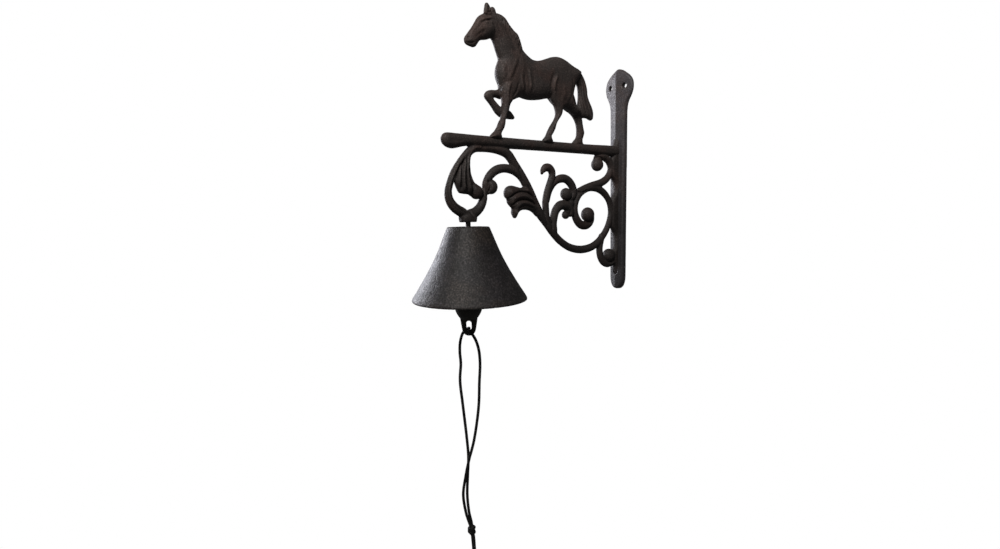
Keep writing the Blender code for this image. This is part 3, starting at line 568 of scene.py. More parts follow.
def cast_iron(name, dark, light, rust, grain, grain_height, rough, specular, grain_glint_contrast, painted_low_shade=None):
    """Painted cast iron: patches of three tones, wear on its edges, painted shade in its hollows, painted
    glints on its grain and a sandy surface.

    grain is the size of the sand's print in mm, and the value after specular how far its specks stand out,
    the dark ones as grain and the bright ones as painted glints. The last value gives the two heights (in mm)
    between which the colour darkens downwards as painted shade, with the share of its tone that is left.
    """
    mat, tree, shader, place = new_material(name)
    shader.inputs["Specular IOR Level"].default_value = specular
    patches = noise_node(tree, place, 15.0, 5.0, 0.6)
    speckle = noise_node(tree, place, grain * 1.25, 2.0, 0.6)
    stain = noise_node(tree, place, 30.0, 4.0, 0.6)
    tone = ramp_node(tree, patches.outputs["Fac"], [(0.38, dark), (0.6, light)])
    # Specks of the grain: the dark ones are grain, the bright ones painted glints of the sand's shine.
    low, high = 1.0 - 0.62 * grain_glint_contrast, 1.0 + 1.7 * grain_glint_contrast
    grain_and_painted_glint = ramp_node(tree, speckle.outputs["Fac"],
                      [(0.34, grey(low)), (0.52, grey(0.92)), (0.68, grey(high))])
    rusty = ramp_node(tree, stain.outputs["Fac"], [(0.47, grey(0.0)), (0.64, grey(0.85))])
    # Lighter on ridges as edge wear, darker in hollows and creases as painted shade.
    worn_edges_and_hollow_shade = ramp_node(tree, tree.nodes.new("ShaderNodeNewGeometry").outputs["Pointiness"],
                     [(0.40, grey(0.3)), (0.492, grey(0.95)), (0.56, (1.45, 1.45, 1.42))])
    colour = mixed(tree, rusty.outputs["Color"], tone.outputs["Color"], rust, "MIX")
    colour = mixed(tree, None, colour, grain_and_painted_glint.outputs["Color"], "MULTIPLY")
    colour = mixed(tree, None, colour, worn_edges_and_hollow_shade.outputs["Color"], "MULTIPLY")
    # Painted shade: the colour darkens downwards between two heights, standing for less light below.
    if painted_low_shade is not None:
        top, bottom, left = painted_low_shade
        split = tree.nodes.new("ShaderNodeSeparateXYZ")
        tree.links.new(place, split.inputs["Vector"])
        fade = range_node(tree, split.outputs["Z"], (bottom * MM, left), (top * MM, 1.0))
        colour = mixed(tree, None, colour, fade, "MULTIPLY")
    tree.links.new(colour, shader.inputs["Base Color"])
    gloss = range_node(tree, speckle.outputs["Fac"], (0.3, rough + 0.12), (0.7, rough - 0.1))
    tree.links.new(gloss, shader.inputs["Roughness"])
    sand = noise_node(tree, place, grain, 3.0, 0.6)
    lumps = noise_node(tree, place, grain * 4.0, 3.0)
    first = bump_node(tree, lumps.outputs["Fac"], grain_height * 2.0, 0.5)
    second = bump_node(tree, sand.outputs["Fac"], grain_height, 0.9, first.outputs["Normal"])
    tree.links.new(second.outputs["Normal"], shader.inputs["Normal"])
    return mat


def fine_material(name, patches, fine, tones, gloss, bump):
    """A material whose tone and gloss vary in patches, with a fine bump over them.

    patches and fine are the size in mm, detail and roughness of two noises, tones the stops of a ramp,
    gloss the least and the most roughness, and bump the height in mm and the strength.
    """
    mat, tree, shader, place = new_material(name)
    wide = noise_node(tree, place, *patches).outputs["Fac"]
    narrow = noise_node(tree, place, *fine).outputs["Fac"]
    tree.links.new(ramp_node(tree, wide, tones).outputs["Color"], shader.inputs["Base Color"])
    tree.links.new(range_node(tree, wide, (0.0, gloss[0]), (1.0, gloss[1])), shader.inputs["Roughness"])
    tree.links.new(bump_node(tree, narrow, *bump).outputs["Normal"], shader.inputs["Normal"])
    return mat, shader


def steel(name):
    """Dark drawn steel with fine scratches and a little rust."""
    mat, shader = fine_material(name, (3.0, 5.0, 0.6), (0.5, 3.0, 0.6),
                                [(0.38, (0.06, 0.052, 0.046)), (0.6, (0.13, 0.12, 0.112))],
                                (0.3, 0.62), (0.06, 0.5))
    shader.inputs["Metallic"].default_value = 0.85
    return mat


def waxed_cord(name):
    """Black waxed cord: fine fibres over the twist, which is in the mesh."""
    mat, shader = fine_material(name, (2.2, 4.0, 0.55), (0.22, 3.0, 0.7),
                                [(0.35, grey(0.0032)), (0.68, (0.0105, 0.0098, 0.0092))],
                                (0.5, 0.8), (0.03, 0.6))
    shader.inputs["Specular IOR Level"].default_value = 0.14
    return mat


# ------------------------------------------------------------------ cords
def twisted(points):
    """A cord's mesh along a smooth route, with the faint relief of its plies, and the route itself."""
    route = np.array(smooth_route(points, 24), float)
    gone = np.concatenate([[0.0], np.cumsum(np.linalg.norm(np.diff(route, axis=0), axis=1))])
    count = int(gone[-1] / CORD_STEP)
    at = np.linspace(0.0, gone[-1], count)
    centre = np.stack([np.interp(at, gone, route[:, k]) for k in range(3)], 1)
    tangent = np.gradient(centre, axis=0)
    tangent /= np.linalg.norm(tangent, axis=1)[:, None]
    across = np.array([1.0, 0.0, 0.0]) if abs(tangent[0][0]) < 0.8 else np.array([0.0, 0.0, 1.0])
    rows = []
    for i in range(count):
        across = across - tangent[i] * (across @ tangent[i])
        across = across / np.linalg.norm(across)
        other = np.cross(tangent[i], across)
        end = min(i, count - 1 - i) * CORD_STEP
        blunt = 1.0 if end > 0.6 else 0.72 + 0.28 * math.sqrt(max(end / 0.6, 0.0))
        row = []
        for k, (c, s) in enumerate(circle(CORD_SIDES)):
            turn = 2 * math.pi * k / CORD_SIDES
            ply = abs(math.cos(0.5 * CORD_PLIES * (turn - 2 * math.pi * at[i] / CORD_PITCH / CORD_PLIES)))
            r = CORD_RADIUS * (CORD_PLUMP + 0.02 * ply) * blunt
            row.append(centre[i] + across * (r * c) + other * (r * s))
        rows.append(row)
    return lofted(rows), centre


def knot_mesh():
    """The overhand knot: two wraps of the same cord round a full middle, between its top and bottom."""
    along = -3.5
    steps = 26
    wraps = []
    for start, lean, high in ((0.6, 0.42, 2.0), (2.6, -0.4, -1.9)):
        points = []
        for i in range(steps + 1):
            turn = start + 2 * math.pi * 1.35 * i / steps
            reach = 2.75 + 0.3 * math.sin(2 * turn + start)
            z = KNOT_MIDDLE + high + lean * 2.6 * math.cos(turn) - 2.2 * (i / steps - 0.5)
            place = cord_point(along + reach * math.cos(turn), reach * math.sin(turn), z)
            points.append((*place, CORD_RADIUS * 0.98))
        wraps.append(tube(points, sides=14))
    core = ball(cord_point(along, 0.0, KNOT_MIDDLE), 3.5)
    core.transform(Matrix.Translation((0, 0, KNOT_MIDDLE)) @ Matrix.Scale(1.72, 4, (0, 0, 1))
                   @ Matrix.Translation((0, 0, -KNOT_MIDDLE)))
    return fused(wraps + [core], 0.22, 2, 0.5)


def make_cords(material):
    knot = finish_piece("cord_knot_wraps", knot_mesh(), material, "pull_cord", ["cord_knot"],
                        180.0)
    for side, points, pieces in (("near", NEAR_STRAND, [knot]), ("far", FAR_STRAND, [])):
        mesh, path = twisted(points)
        path = path * MM
        nodes = ["cord_%s_strand" % side, "cord_%s_tail" % side]
        cord = finish_piece("pull_cord_" + side, mesh, material, "pull_cord", nodes, 180.0)


# ------------------------------------------------------------------ bracket: outlines and routes, (y, z)
ARM_OUTLINE = [
    (-1, 40), (-1, 29.4), (-60, 29.3), (-120, 29.4), (-180, 29.3), (-208, 29.4), (-216, 28.8), (-222, 27.4),
    (-228.5, 26.2), (-234, 27.2), (-238, 30), (-239.6, 34.2), (-238.4, 38), (-234.6, 40.2), (-226, 40.4),
    (-200, 40.1), (-140, 40), (-60, 40),
]

HORSE_BODY = [
    (-211.6, 121.6), (-212.3, 123.8), (-211.8, 126.6), (-209.2, 130), (-205.6, 134.4), (-202.6, 138.4),
    (-199.8, 142.6), (-197.4, 146.2), (-194.2, 149), (-190.6, 151), (-187, 152.6), (-181.5, 153.8),
    (-175, 154.3), (-170.6, 153.8), (-167, 152.6), (-163.9, 150.4), (-161, 147.2), (-157.4, 144),
    (-154.4, 141.6), (-151.4, 140), (-149.6, 138), (-148, 134.8), (-146.4, 130.8), (-145, 127),
    (-143.4, 124.2), (-140.6, 122.2), (-137, 120), (-133.5, 118.5), (-129.5, 117.9), (-125, 118.1),
    (-119, 119.6), (-112, 122.2), (-106, 124.4), (-101, 125.5), (-96, 125.8), (-90, 124.8), (-84, 122.8),
    (-78, 120.2), (-73, 118.6), (-68.5, 117.2), (-64.5, 114.6), (-66.5, 109), (-71.5, 103), (-74.4, 97),
    (-76.2, 91), (-76.6, 86), (-75.6, 81.8), (-73.4, 79.4), (-69, 78.2), (-66, 74), (-68, 69.5),
    (-73.5, 69.5), (-79.5, 72.6), (-85, 74.6), (-92, 75), (-99, 76), (-104.5, 79), (-108.8, 82.6),
    (-114, 82.2), (-122, 80.3), (-130, 79.1), (-136, 78.7), (-142, 79.1), (-147, 80), (-151, 79),
    (-156.5, 76.6), (-161, 76), (-167, 77.5), (-172, 84), (-173.2, 88.8), (-174.2, 91.4), (-175.8, 95.8),
    (-176.4, 100.6), (-175.7, 105.2), (-174, 110), (-173, 113.2), (-174.6, 116.4), (-177.2, 121.8),
    (-179.3, 127.4), (-180.6, 129.6), (-182.6, 130.2), (-186, 128.7), (-190, 127.6), (-194.6, 126.5),
    (-197.4, 123.4), (-199.8, 120.2), (-202.6, 119), (-206, 119.4), (-209.6, 120.2),
]
NEAR_EAR = [
    (-191, 150), (-190.6, 156.4), (-189.8, 159.4), (-188.4, 160.6), (-186.6, 159.8), (-184.2, 156.6),
    (-182.6, 150),
]
FAR_EAR = [
    (-181.8, 150), (-181.2, 156.6), (-179.6, 159.6), (-177.4, 160.4), (-175.4, 159.4), (-174, 156.6),
    (-173, 150),
]
NEAR_FORELEG = [
    (-171, 90), (-172.6, 84), (-172.3, 77), (-172.1, 70), (-172.6, 63), (-174.2, 57.5), (-176.4, 54),
    (-178.1, 50.5), (-179.8, 47.5), (-182.3, 44.5), (-184.8, 42.4), (-186.6, 40.4), (-187.2, 38),
    (-174.2, 38), (-174.4, 42), (-172.8, 45), (-170.5, 48.5), (-169.3, 52), (-168.7, 56), (-166.8, 61),
    (-164.6, 65.5), (-163.6, 69.5), (-161.6, 73), (-158.5, 76.5), (-154, 80.5), (-152, 88), (-158, 95),
    (-166, 95),
]
RAISED_FORELEG = [
    (-168, 89), (-171, 86.2), (-175.3, 84.6), (-180.3, 84.2), (-185, 82.8), (-187.6, 80.4), (-188.4, 78),
    (-187.4, 75.6), (-184, 72.4), (-180, 68.3), (-176.5, 64), (-173.6, 61.4), (-170, 59.4), (-165, 58.6),
    (-159, 58.4), (-153.6, 58.8), (-152.8, 60.4), (-154.8, 63.4), (-158, 66.3), (-161, 67.6), (-166, 68.2),
    (-170.2, 69.5), (-173.6, 72), (-177.6, 75.4), (-178, 77), (-174, 77.2), (-169, 76.5), (-164, 80),
    (-158, 88), (-162, 94),
]
NEAR_HINDLEG = [
    (-111.5, 90), (-110.4, 83), (-107.1, 78.5), (-104.4, 75), (-102.9, 71), (-102.6, 67.5), (-103.6, 64.5),
    (-106.1, 60.5), (-110.6, 55), (-113.6, 50.5), (-115.9, 46.4), (-117.8, 43.4), (-119.8, 41.4), (-121, 38),
    (-108, 38), (-109.3, 42.5), (-109, 45), (-106.5, 48.5), (-104.1, 52.5), (-102.5, 57), (-100.1, 61),
    (-97, 64.5), (-94.8, 68), (-94, 71), (-92.6, 75), (-84, 80), (-80, 92), (-92, 102), (-104, 100),
]
FAR_HINDLEG = [
    (-96, 86), (-89, 78), (-83, 74), (-77, 71.6), (-72.6, 69), (-69.2, 65.2), (-67.2, 61.8), (-66.2, 58),
    (-65.8, 53), (-66.4, 48.5), (-67.4, 46.4), (-70, 43.8), (-72.4, 41.2), (-73.6, 38), (-57.8, 38),
    (-58.6, 42), (-57.8, 46), (-56.2, 50), (-55.8, 53), (-57, 56.5), (-58, 60), (-59.4, 66), (-62, 72),
    (-68, 80), (-74, 92), (-86, 98),
]
HORSE_TAIL = [
    (-73.5, 114), (-70, 116.4), (-66, 115.8), (-62.6, 112.9), (-59.6, 109.2), (-57.2, 104.8), (-55.3, 99.8),
    (-54.5, 95.8), (-54.1, 91.8), (-52.6, 88), (-50.2, 84), (-47.6, 80), (-45.9, 76), (-45.3, 72.4),
    (-45.6, 68.6), (-46.6, 66.4), (-48.4, 65.6), (-51, 66.2), (-54, 67.3), (-58, 67.5), (-62.6, 67.6),
    (-66.4, 70), (-68.2, 74), (-68, 79.5), (-67.3, 86), (-67, 93), (-67.8, 99.4), (-71.4, 104.6),
]

HANGER_RING = [
    (-203.5, 30.5, 3.4), (-211.5, 23.6, 3.3), (-218.6, 16, 3.3), (-226.3, 5.9, 3.3), (-230.5, -2.4, 3.4),
    (-233.3, -10.8, 3.5), (-233.3, -17.3, 3.8), (-231, -22.8, 4.2), (-226.3, -27.7, 4.6),
    (-219.5, -31.5, 4.8), (-212.5, -33.6, 4.9), (-204.9, -32.3, 4.9), (-198.1, -26.8, 4.4),
    (-194.7, -19.6, 4.1), (-194.4, -13.5, 3.8),
]
HANGER_LEAF = [
    (-207, 31), (-213.8, 22), (-219.8, 13.4), (-224.4, 6), (-226.8, -0.6), (-226.4, -4.6), (-224, -10.2),
    (-221.7, -13.8), (-217, -14.8), (-211.5, -15.3), (-208.5, -17.2), (-203, -17.2), (-198.5, -12),
    (-200.6, -6.2), (-204, -4.4), (-206.2, -1.7), (-208.4, 3.7), (-209.2, 10.7), (-209, 16), (-208, 20),
    (-205.4, 23.2), (-201.4, 25.4), (-196, 26.8), (-196, 31),
]
MAIN_SCROLL = [
    (-209, 22, 2), (-203.6, 26.4, 2.7), (-195.4, 28.2, 3.6), (-185, 28.7, 4.2), (-175, 27.8, 4.7),
    (-164.5, 24.4, 4.9), (-155.7, 14.6, 4.6), (-146.5, 3, 4.7), (-138.5, -8.6, 4.8), (-130.6, -22.2, 4.8),
    (-123.7, -33.7, 4.9), (-113.8, -44.9, 4.4), (-104.3, -55.5, 4.2), (-94, -64.4, 4.1), (-80.5, -71.6, 4.2),
    (-64.5, -74.8, 4.4), (-48, -73.2, 4.4), (-35, -67, 4.2), (-23.5, -56, 3.9), (-17.2, -44.2, 3.6),
    (-15.1, -33, 3.5), (-18.2, -21.5, 3.7), (-26.5, -12.6, 4.1), (-37.5, -7.8, 4.1), (-50, -7, 4.1),
    (-61.2, -10.8, 4.2), (-68.7, -17.8, 3.9), (-72.6, -28, 3.8), (-71.4, -38.5, 4.5), (-64.3, -46.8, 4.8),
    (-54.5, -48.1, 4.8), (-48, -43.4, 4.3), (-47.2, -37, 3.9),
]
SMALL_ARCH = [
    (-145.5, -0.5, 3.6), (-149.8, 4.6, 4.2), (-158, 8.9, 4.4), (-168.5, 10.4, 4.3), (-177.7, 8.6, 4.5),
    (-184.7, 4.2, 4.4), (-189, -0.8, 4.1), (-191.4, -6.4, 3.9), (-189.8, -11.5, 4.1),
]
ACANTHUS_LEAF = [
    (-141.5, -6.2), (-148, -8.2), (-154, -7.2), (-160, -6.1), (-165, -7), (-167.8, -10), (-168.8, -14.2),
    (-168, -17.7), (-165.2, -20.4), (-164.4, -23.5), (-162.2, -26.8), (-159.6, -28.7), (-159.4, -32.7),
    (-158.4, -36.8), (-156.6, -38.8), (-154.6, -37.4), (-152.8, -34.2), (-149.8, -31.5), (-145.4, -30.4),
    (-138.9, -30.8), (-132.8, -33.2), (-127.5, -37.5), (-124.5, -36), (-131, -22.5), (-137, -11),
]
TENDRIL_HOOK = [
    (-113.6, -42, 4.2), (-114.6, -32, 4), (-114.9, -22, 4), (-112.5, -12, 3.9), (-108.9, -3.5, 3.9),
    (-106, 3.2, 4), (-105.8, 8.9, 4.2), (-109.8, 12.8, 4.3), (-115.2, 12.5, 4.1), (-118.6, 9.3, 3),
    (-119.6, 7.2, 1.8),
]
TENDRIL_ARCH = [
    (-112.6, -21, 3), (-109.8, -12, 3.3), (-105.4, -5, 3.6), (-100, -0.2, 4.1), (-93.5, 2, 4.5),
    (-86, 1.8, 4.6), (-79.2, -2.4, 4.7), (-74.8, -9.5, 4.4), (-76.2, -16.6, 4.1), (-82.6, -18, 3.7),
]
LEAF_STEM = [
    (-102.6, -57.5, 3.5), (-104.2, -52, 4.8), (-105, -46, 4.9), (-103.6, -39, 4.7), (-101, -32.2, 4.8),
    (-95.6, -26.8, 5.1), (-88.5, -25.8, 5.3), (-82, -28.4, 5.2), (-79.8, -34, 4.8),
]
UPPER_CURL = [
    (-68, -10.8, 3), (-56.5, -7, 3.5), (-45.5, -4.4, 4.1), (-35, -2.2, 4.3), (-26.5, 0.8, 4.4),
    (-19.4, 6, 4.2), (-15.6, 14, 3.8), (-17.8, 21.8, 4.2), (-24.5, 26.9, 4.6), (-32, 27.8, 4.7),
    (-38.5, 24.6, 4.7),
]
LOWER_CURL = [
    (-30, -62, 4.2), (-33.2, -72, 4.2), (-33.2, -80, 4.2), (-31, -86, 4.4), (-27, -90.6, 4.6),
    (-20, -93.2, 4.7), (-12, -91.6, 4.4),
]
# (y, z), radius, and how far it is narrowed across X
KNOBS = [
    (-202.4, -12.9, 6.9, 0.95), (-52.6, -36.5, 8.1, 0.86), (-185, -7.9, 7.1, 0.86),
    (-85.6, -14.2, 6.7, 0.86), (-86.2, -36.3, 4.6, 0.86), (-37.4, 18.7, 7.4, 0.86), (-18.2, -84, 7.8, 0.86),
    (-79.4, -23.6, 4.7, 0.8), (-109.4, -42, 4.3, 0.8),
]
PLATE_RIB = [
    (-2, 46), (-9, 45), (-12.5, 32), (-17, 24), (-17, 8), (-11.5, 2), (-8.8, -4), (-9.4, -12), (-15, -21),
    (-16.4, -36), (-15.6, -50), (-9.4, -59), (-8.4, -68), (-9.6, -76), (-13, -80), (-13, -89), (-9, -97),
    (-2, -99),
]


def in_bracket(points):
    """A smooth route of (x, y, z, radius) in the bracket's plane from points of (y, z, radius)."""
    return [(0.0, y, z, r) for y, z, r in smooth_route(points, 5)]


def scroll_bar(points):
    """A scroll's bar: a rounded section with a soft ridge along each face."""
    return tube(in_bracket(points), sides=20, flat=0.9, power=1.75)


def hanger_boss():
    """The block under the ring: a squared boss with a flat bottom, flaring up into the ring."""
    rings = [                   # height, half its length along Y, half its width along X
        (-29.0, 2.0, 3.0), (-31.5, 5.4, 4.4), (-34.0, 8.4, 5.8), (-36.2, 9.0, 6.6), (-38.6, 8.6, 6.7),
        (-40.4, 8.3, 6.5), (-41.0, 7.9, 6.1),
    ]
    return lofted([[(wide * squared(s, 0.75), BELL_Y + deep * squared(c, 0.75), z) for c, s in circle(32)]
                   for z, deep, wide in rings])


SCROLL_STROKES = [
    # flutes of the hanger leaf
    ([(-221, 13), (-224.4, 5), (-226, -2)], 0.8, -1.8),
    ([(-216.6, 18), (-220.3, 7), (-221.4, -3), (-220.8, -12)], 0.95, -2.6),
    ([(-213.4, 19), (-216, 8), (-216.2, -3), (-214, -14)], 0.95, -2.4),
    ([(-211.2, 16), (-212.2, 8), (-211, -1), (-208, -8)], 0.8, -1.4),
    ([(-219.2, 12), (-222.8, 3), (-223.6, -8)], 1.1, 1.1),
    ([(-215.4, 16), (-218.4, 6), (-218.9, -4), (-217.6, -12)], 1.2, 1.2),
    ([(-212.4, 17), (-214.4, 8), (-213.8, -2), (-211.4, -12)], 1.2, 1.1),
    # where the leaf's rolled end meets the ring and the arch
    ([(-208.6, -4.6), (-208.2, -9.6), (-208.8, -14), (-206.6, -18.6)], 1, -2),
    ([(-204.8, -4.8), (-199.6, -6.6), (-196.4, -11), (-197.2, -17.6)], 0.9, -1.7),
    ([(-206, -10.4)], 2.2, 0.8),
    # a groove down the ring's inner side and a hollow beside its foot
    ([(-216.8, 17), (-224.6, 6.4), (-229.6, -3), (-232, -11), (-231.4, -18.4), (-227.6, -24.8),
      (-221.4, -29.8), (-216.6, -33.4)], 0.75, -1.7),
    ([(-226, 10), (-232.4, -1), (-235, -11), (-234.4, -19), (-230.4, -26),
      (-224.4, -31)], 0.9, -0.8),
    ([(-213.6, -29.6), (-211.4, -34.6), (-208.6, -38.6)], 0.9, -1.2),
    # the acanthus leaf: valleys between its three lobes, ridges along them, and rolled tips
    ([(-133, -17.6), (-143, -13.4), (-152, -12.6), (-160, -14.8), (-166.4, -19.6)], 0.95, -1.8),
    ([(-130, -26), (-139, -21.8), (-148, -20.2), (-156, -21.6), (-163, -27.4)], 0.95, -1.9),
    ([(-134, -28.8), (-143, -26.4), (-150, -26.8), (-155, -30.6)], 0.8, -1.2),
    ([(-136, -13.6), (-146, -9.8), (-158, -9.4)], 1.3, 0.9),
    ([(-134, -22), (-145, -16.8), (-155, -17.2), (-163, -20.6)], 1.5, 1.3),
    ([(-132, -29.6), (-142, -24), (-152, -24), (-158.4, -29.6)], 1.3, 1),
    ([(-164.6, -12.6)], 3.2, 1.6), ([(-162.4, -22.4)], 2.4, 1.1), ([(-157.6, -33)], 2.2, 1.4),
    # a curl's line round each rolled end
    ([(-57.6, -29.6), (-61.8, -35), (-59.8, -42), (-53, -45.2), (-46.6, -41.6)], 0.85, -2),
    ([(-181, -1.6), (-178.8, -8.6), (-182.8, -14.2)], 0.8, -0.7),
    ([(-190.8, -1.6), (-188.6, -7.4), (-190.6, -13.4)], 0.85, -1.9),
    ([(-84, -7), (-79.6, -11.8), (-80.8, -18.6), (-87, -21)], 0.85, -1.7),
    ([(-82.8, -30.6), (-83, -35.6), (-87.6, -33.2)], 0.8, -1),
    ([(-45, 21.6), (-40.4, 26.8), (-33, 25.6), (-30, 19.4)], 0.85, -1.8),
    ([(-26, -79), (-26.6, -85.8), (-21.4, -91.4), (-13.6, -91.2)], 0.85, -1.8),
    # joints where one scroll springs from another
    ([(-118.6, -30), (-118.2, -38), (-114.6, -48)], 0.8, -1.5),
    ([(-110.6, -36), (-108.6, -44), (-108.6, -52)], 0.8, -1.3),
    ([(-152, 12.6), (-151.6, 6.4), (-146.2, -3.4)], 0.8, -1.5),
    ([(-142.4, -5), (-135, -15.6), (-128, -27)], 0.9, -1.4),
    ([(-73.6, -8), (-66, -12.4), (-56, -9.6)], 0.8, -1.5),
    ([(-110.6, -18), (-107, -9), (-103, -4)], 0.8, -1.1),
]


def bracket_scrollwork():
    """The arm, the hanger ring and every scroll and leaf under the arm, cast in one with its knobs."""
    bars = [MAIN_SCROLL, SMALL_ARCH, TENDRIL_HOOK, TENDRIL_ARCH, LEAF_STEM, UPPER_CURL, LOWER_CURL]
    parts = [scroll_bar(points) for points in bars]
    parts.append(tube(in_bracket(HANGER_RING), sides=20, flat=1.05, power=1.9))
    parts.append(swollen(ARM_OUTLINE, 5.2, 4.6, power=1.7, span=4))
    parts.append(swollen(HANGER_LEAF, 5.4, 8.0))
    parts.append(swollen(ACANTHUS_LEAF, 5.6, 8.0))
    parts.append(swollen(PLATE_RIB, 4.2, 3.4))
    parts += [ball((0.0, y, z), radius, flat) for y, z, radius, flat in KNOBS]
    parts.append(hanger_boss())
    mesh = fused(parts, VOXEL, 3, 0.62)
    co = coords(mesh)
    wide = np.exp(-((co[:, 1] + 213.6) / 1.9) ** 2) * np.exp(-((co[:, 2] + 27.4) / 2.6) ** 2)
    co[:, 2] -= 2.2 * wide
    co[:, 1] = np.minimum(co[:, 1], -0.2)
    set_coords(mesh, co)
    carve(mesh, SCROLL_STROKES)
    relax(mesh, 1, 0.62)
    return thinned(roughened(mesh, 0.1, 1.5))


# ------------------------------------------------------------------ horse
def body_thickness(y, z):
    """Half thickness of the horse over its outline: a round barrel, a thinner neck and a fine head."""
    barrel = 9.4 - 1.4 * np.clip((z - 108.0) / 14.0, 0.0, 1.0)
    neck = np.clip((z - 112.0) / 30.0, 0.0, 1.0) * np.clip((-146.0 - y) / 10.0, 0.0, 1.0)
    thick = barrel * (1.0 - neck) + 6.4 * neck
    head = np.clip((-186.0 - y) / 24.0, 0.0, 1.0)
    return thick * (1.0 - head) + 4.6 * head


def leg_thickness(foot_z, top_z, slim, full):
    """Half thickness of a leg: slim at the shin, fuller at the thigh and at the hoof."""
    def half(y, z):
        rise = np.clip((z - foot_z) / (top_z - foot_z), 0.0, 1.0)
        hoof = np.exp(-((z - foot_z) / 3.5) ** 2)
        return slim + (full - slim) * rise ** 2 + 0.9 * hoof
    return half


def mane_strokes():
    """Locks of the mane: short slanting grooves set along the crest."""
    crest = smooth_route([(-177.0, 153.0), (-169.0, 152.0), (-162.5, 148.0), (-156.0, 142.0), (-150.0, 137.4),
                          (-147.0, 130.0), (-144.6, 125.6)], 3)
    strokes = []
    for i, (y, z) in enumerate(crest):
        ahead = crest[min(i + 1, len(crest) - 1)]
        behind = crest[max(i - 1, 0)]
        dy, dz = ahead[0] - behind[0], ahead[1] - behind[1]
        size = math.hypot(dy, dz)
        dy, dz = dy / size, dz / size
        reach = 7.6 + 1.6 * math.sin(2.7 * i)
        lean = 2.6 + 0.9 * math.sin(1.9 * i)
        end = (y + dz * reach + dy * lean, z - dy * reach + dz * lean)
        if end[0] > y + 3.0 and end[1] > z:
            end = (y - dz * reach + dy * lean, z + dy * reach + dz * lean)
        half = ((y + end[0]) / 2 - dy * 1.1, (z + end[1]) / 2 - dz * 1.1)
        strokes.append(([(y, z), half, end], 0.7, -1.25))
    return strokes


HORSE_RELIEF = 1.15              # every height in the table below is raised by this
HORSE_STROKES = [
    # head: eye, brow, cheek, nostril, mouth, nose bone
    ([(-195.6, 141.4), (-191, 143.4), (-185, 145.2)], 0.9, -1.1),
    ([(-194.6, 144.6), (-189.4, 146.6), (-183.6, 147.6)], 1.2, 0.8),
    ([(-190.4, 142.6)], 1.3, 0.9),
    ([(-185.2, 137)], 5, 0.9),
    ([(-180.6, 133), (-181.4, 139), (-184.6, 142.6)], 1, -0.7),
    ([(-209.4, 125.6), (-208.4, 127.2)], 0.95, -1.2),
    ([(-211.2, 122.2), (-206.8, 121.9), (-203.4, 122.8)], 0.6, -0.8),
    ([(-206.6, 130.4), (-201.6, 136.6), (-197, 142.4)], 1.4, 0.6),
    ([(-203.4, 127), (-198, 131.4), (-192, 134.4)], 1.5, -0.6),
    ([(-187.2, 154), (-186.8, 158)], 0.8, -0.9, 1), ([(-178, 154), (-177.4, 158)], 0.8, -0.9, -1),
    ([(-189.4, 151.4), (-184, 152.4), (-178, 151.6)], 0.9, -0.6),
    # neck and shoulder
    ([(-177.6, 127), (-173.4, 116), (-170, 106)], 1.5, -0.7),
    ([(-170, 141), (-162, 130), (-158, 119)], 2.4, -0.7),
    ([(-157.6, 114), (-162.4, 104), (-168, 93.4)], 1.6, 0.6),
    ([(-154.4, 113), (-158.8, 103), (-163.6, 94)], 1.5, -0.35),
    ([(-171.6, 108), (-173.4, 101), (-171.8, 93)], 1.8, 0.7),
    ([(-167.4, 110), (-169, 101), (-168.6, 94)], 1.2, -0.4),
    ([(-151, 117), (-150.6, 106), (-153, 97)], 2.2, 0.4),
    # elbow and ribs
    ([(-152.8, 99), (-151.8, 91), (-149, 84)], 1.3, 0.9),
    ([(-149, 100), (-147.6, 92), (-146.2, 84)], 1, -0.7),
    ([(-143.6, 106), (-141.6, 96), (-141.2, 85)], 1.4, 1),
    ([(-138.6, 106), (-136.6, 97), (-136.6, 88)], 1.5, -0.3),
    ([(-129, 106), (-127.4, 98), (-127.4, 90)], 2.4, 0.25),
    ([(-156, 92), (-158, 84), (-163, 77)], 1.2, -0.8, 1),
    ([(-165.6, 90), (-168.4, 82), (-168.2, 72)], 1.3, 0.7, 1),
    # flank, hip and thigh
    ([(-105.4, 105), (-109, 97), (-109.4, 90), (-108, 85)], 1.5, 1.1),
    ([(-109.6, 106), (-113.2, 98), (-113.6, 89)], 1.7, -0.8),
    ([(-84.6, 106), (-82.6, 97), (-84.4, 87), (-89, 79)], 1.8, -0.5),
    ([(-96, 96), (-95.4, 88), (-98.6, 79)], 2.4, 0.5, 1),
    ([(-101.4, 67), (-104, 61), (-109, 54)], 0.9, 0.6, 1),
    # hocks, knees and hooves
    ([(-184, 79), (-183, 75.6)], 1.2, 0.6, -1), ([(-174.6, 57), (-171, 55.6)], 0.8, -0.5),
    ([(-184.4, 45), (-172, 45)], 0.6, -0.55), ([(-117.8, 45.2), (-107, 45.2)], 0.6, -0.55),
    ([(-71.8, 45.4), (-57, 45.4)], 0.6, -0.55), ([(-158.4, 66.6), (-160.4, 58.4)], 0.6, -0.6, -1),
    # tail hairs
    ([(-68, 113), (-62.4, 103), (-60.8, 92), (-57, 81), (-52, 69.4)], 0.65, -0.9),
    ([(-65, 113.6), (-59.4, 103.6), (-57.4, 93), (-53.6, 84), (-48.4, 71)], 0.65, -0.8),
    ([(-69, 108), (-65, 99), (-64.2, 89), (-61.6, 79), (-57.4, 70)], 0.65, -0.9),
    ([(-68.6, 102), (-66.4, 92), (-65.6, 82), (-63.4, 73)], 0.6, -0.6),
]


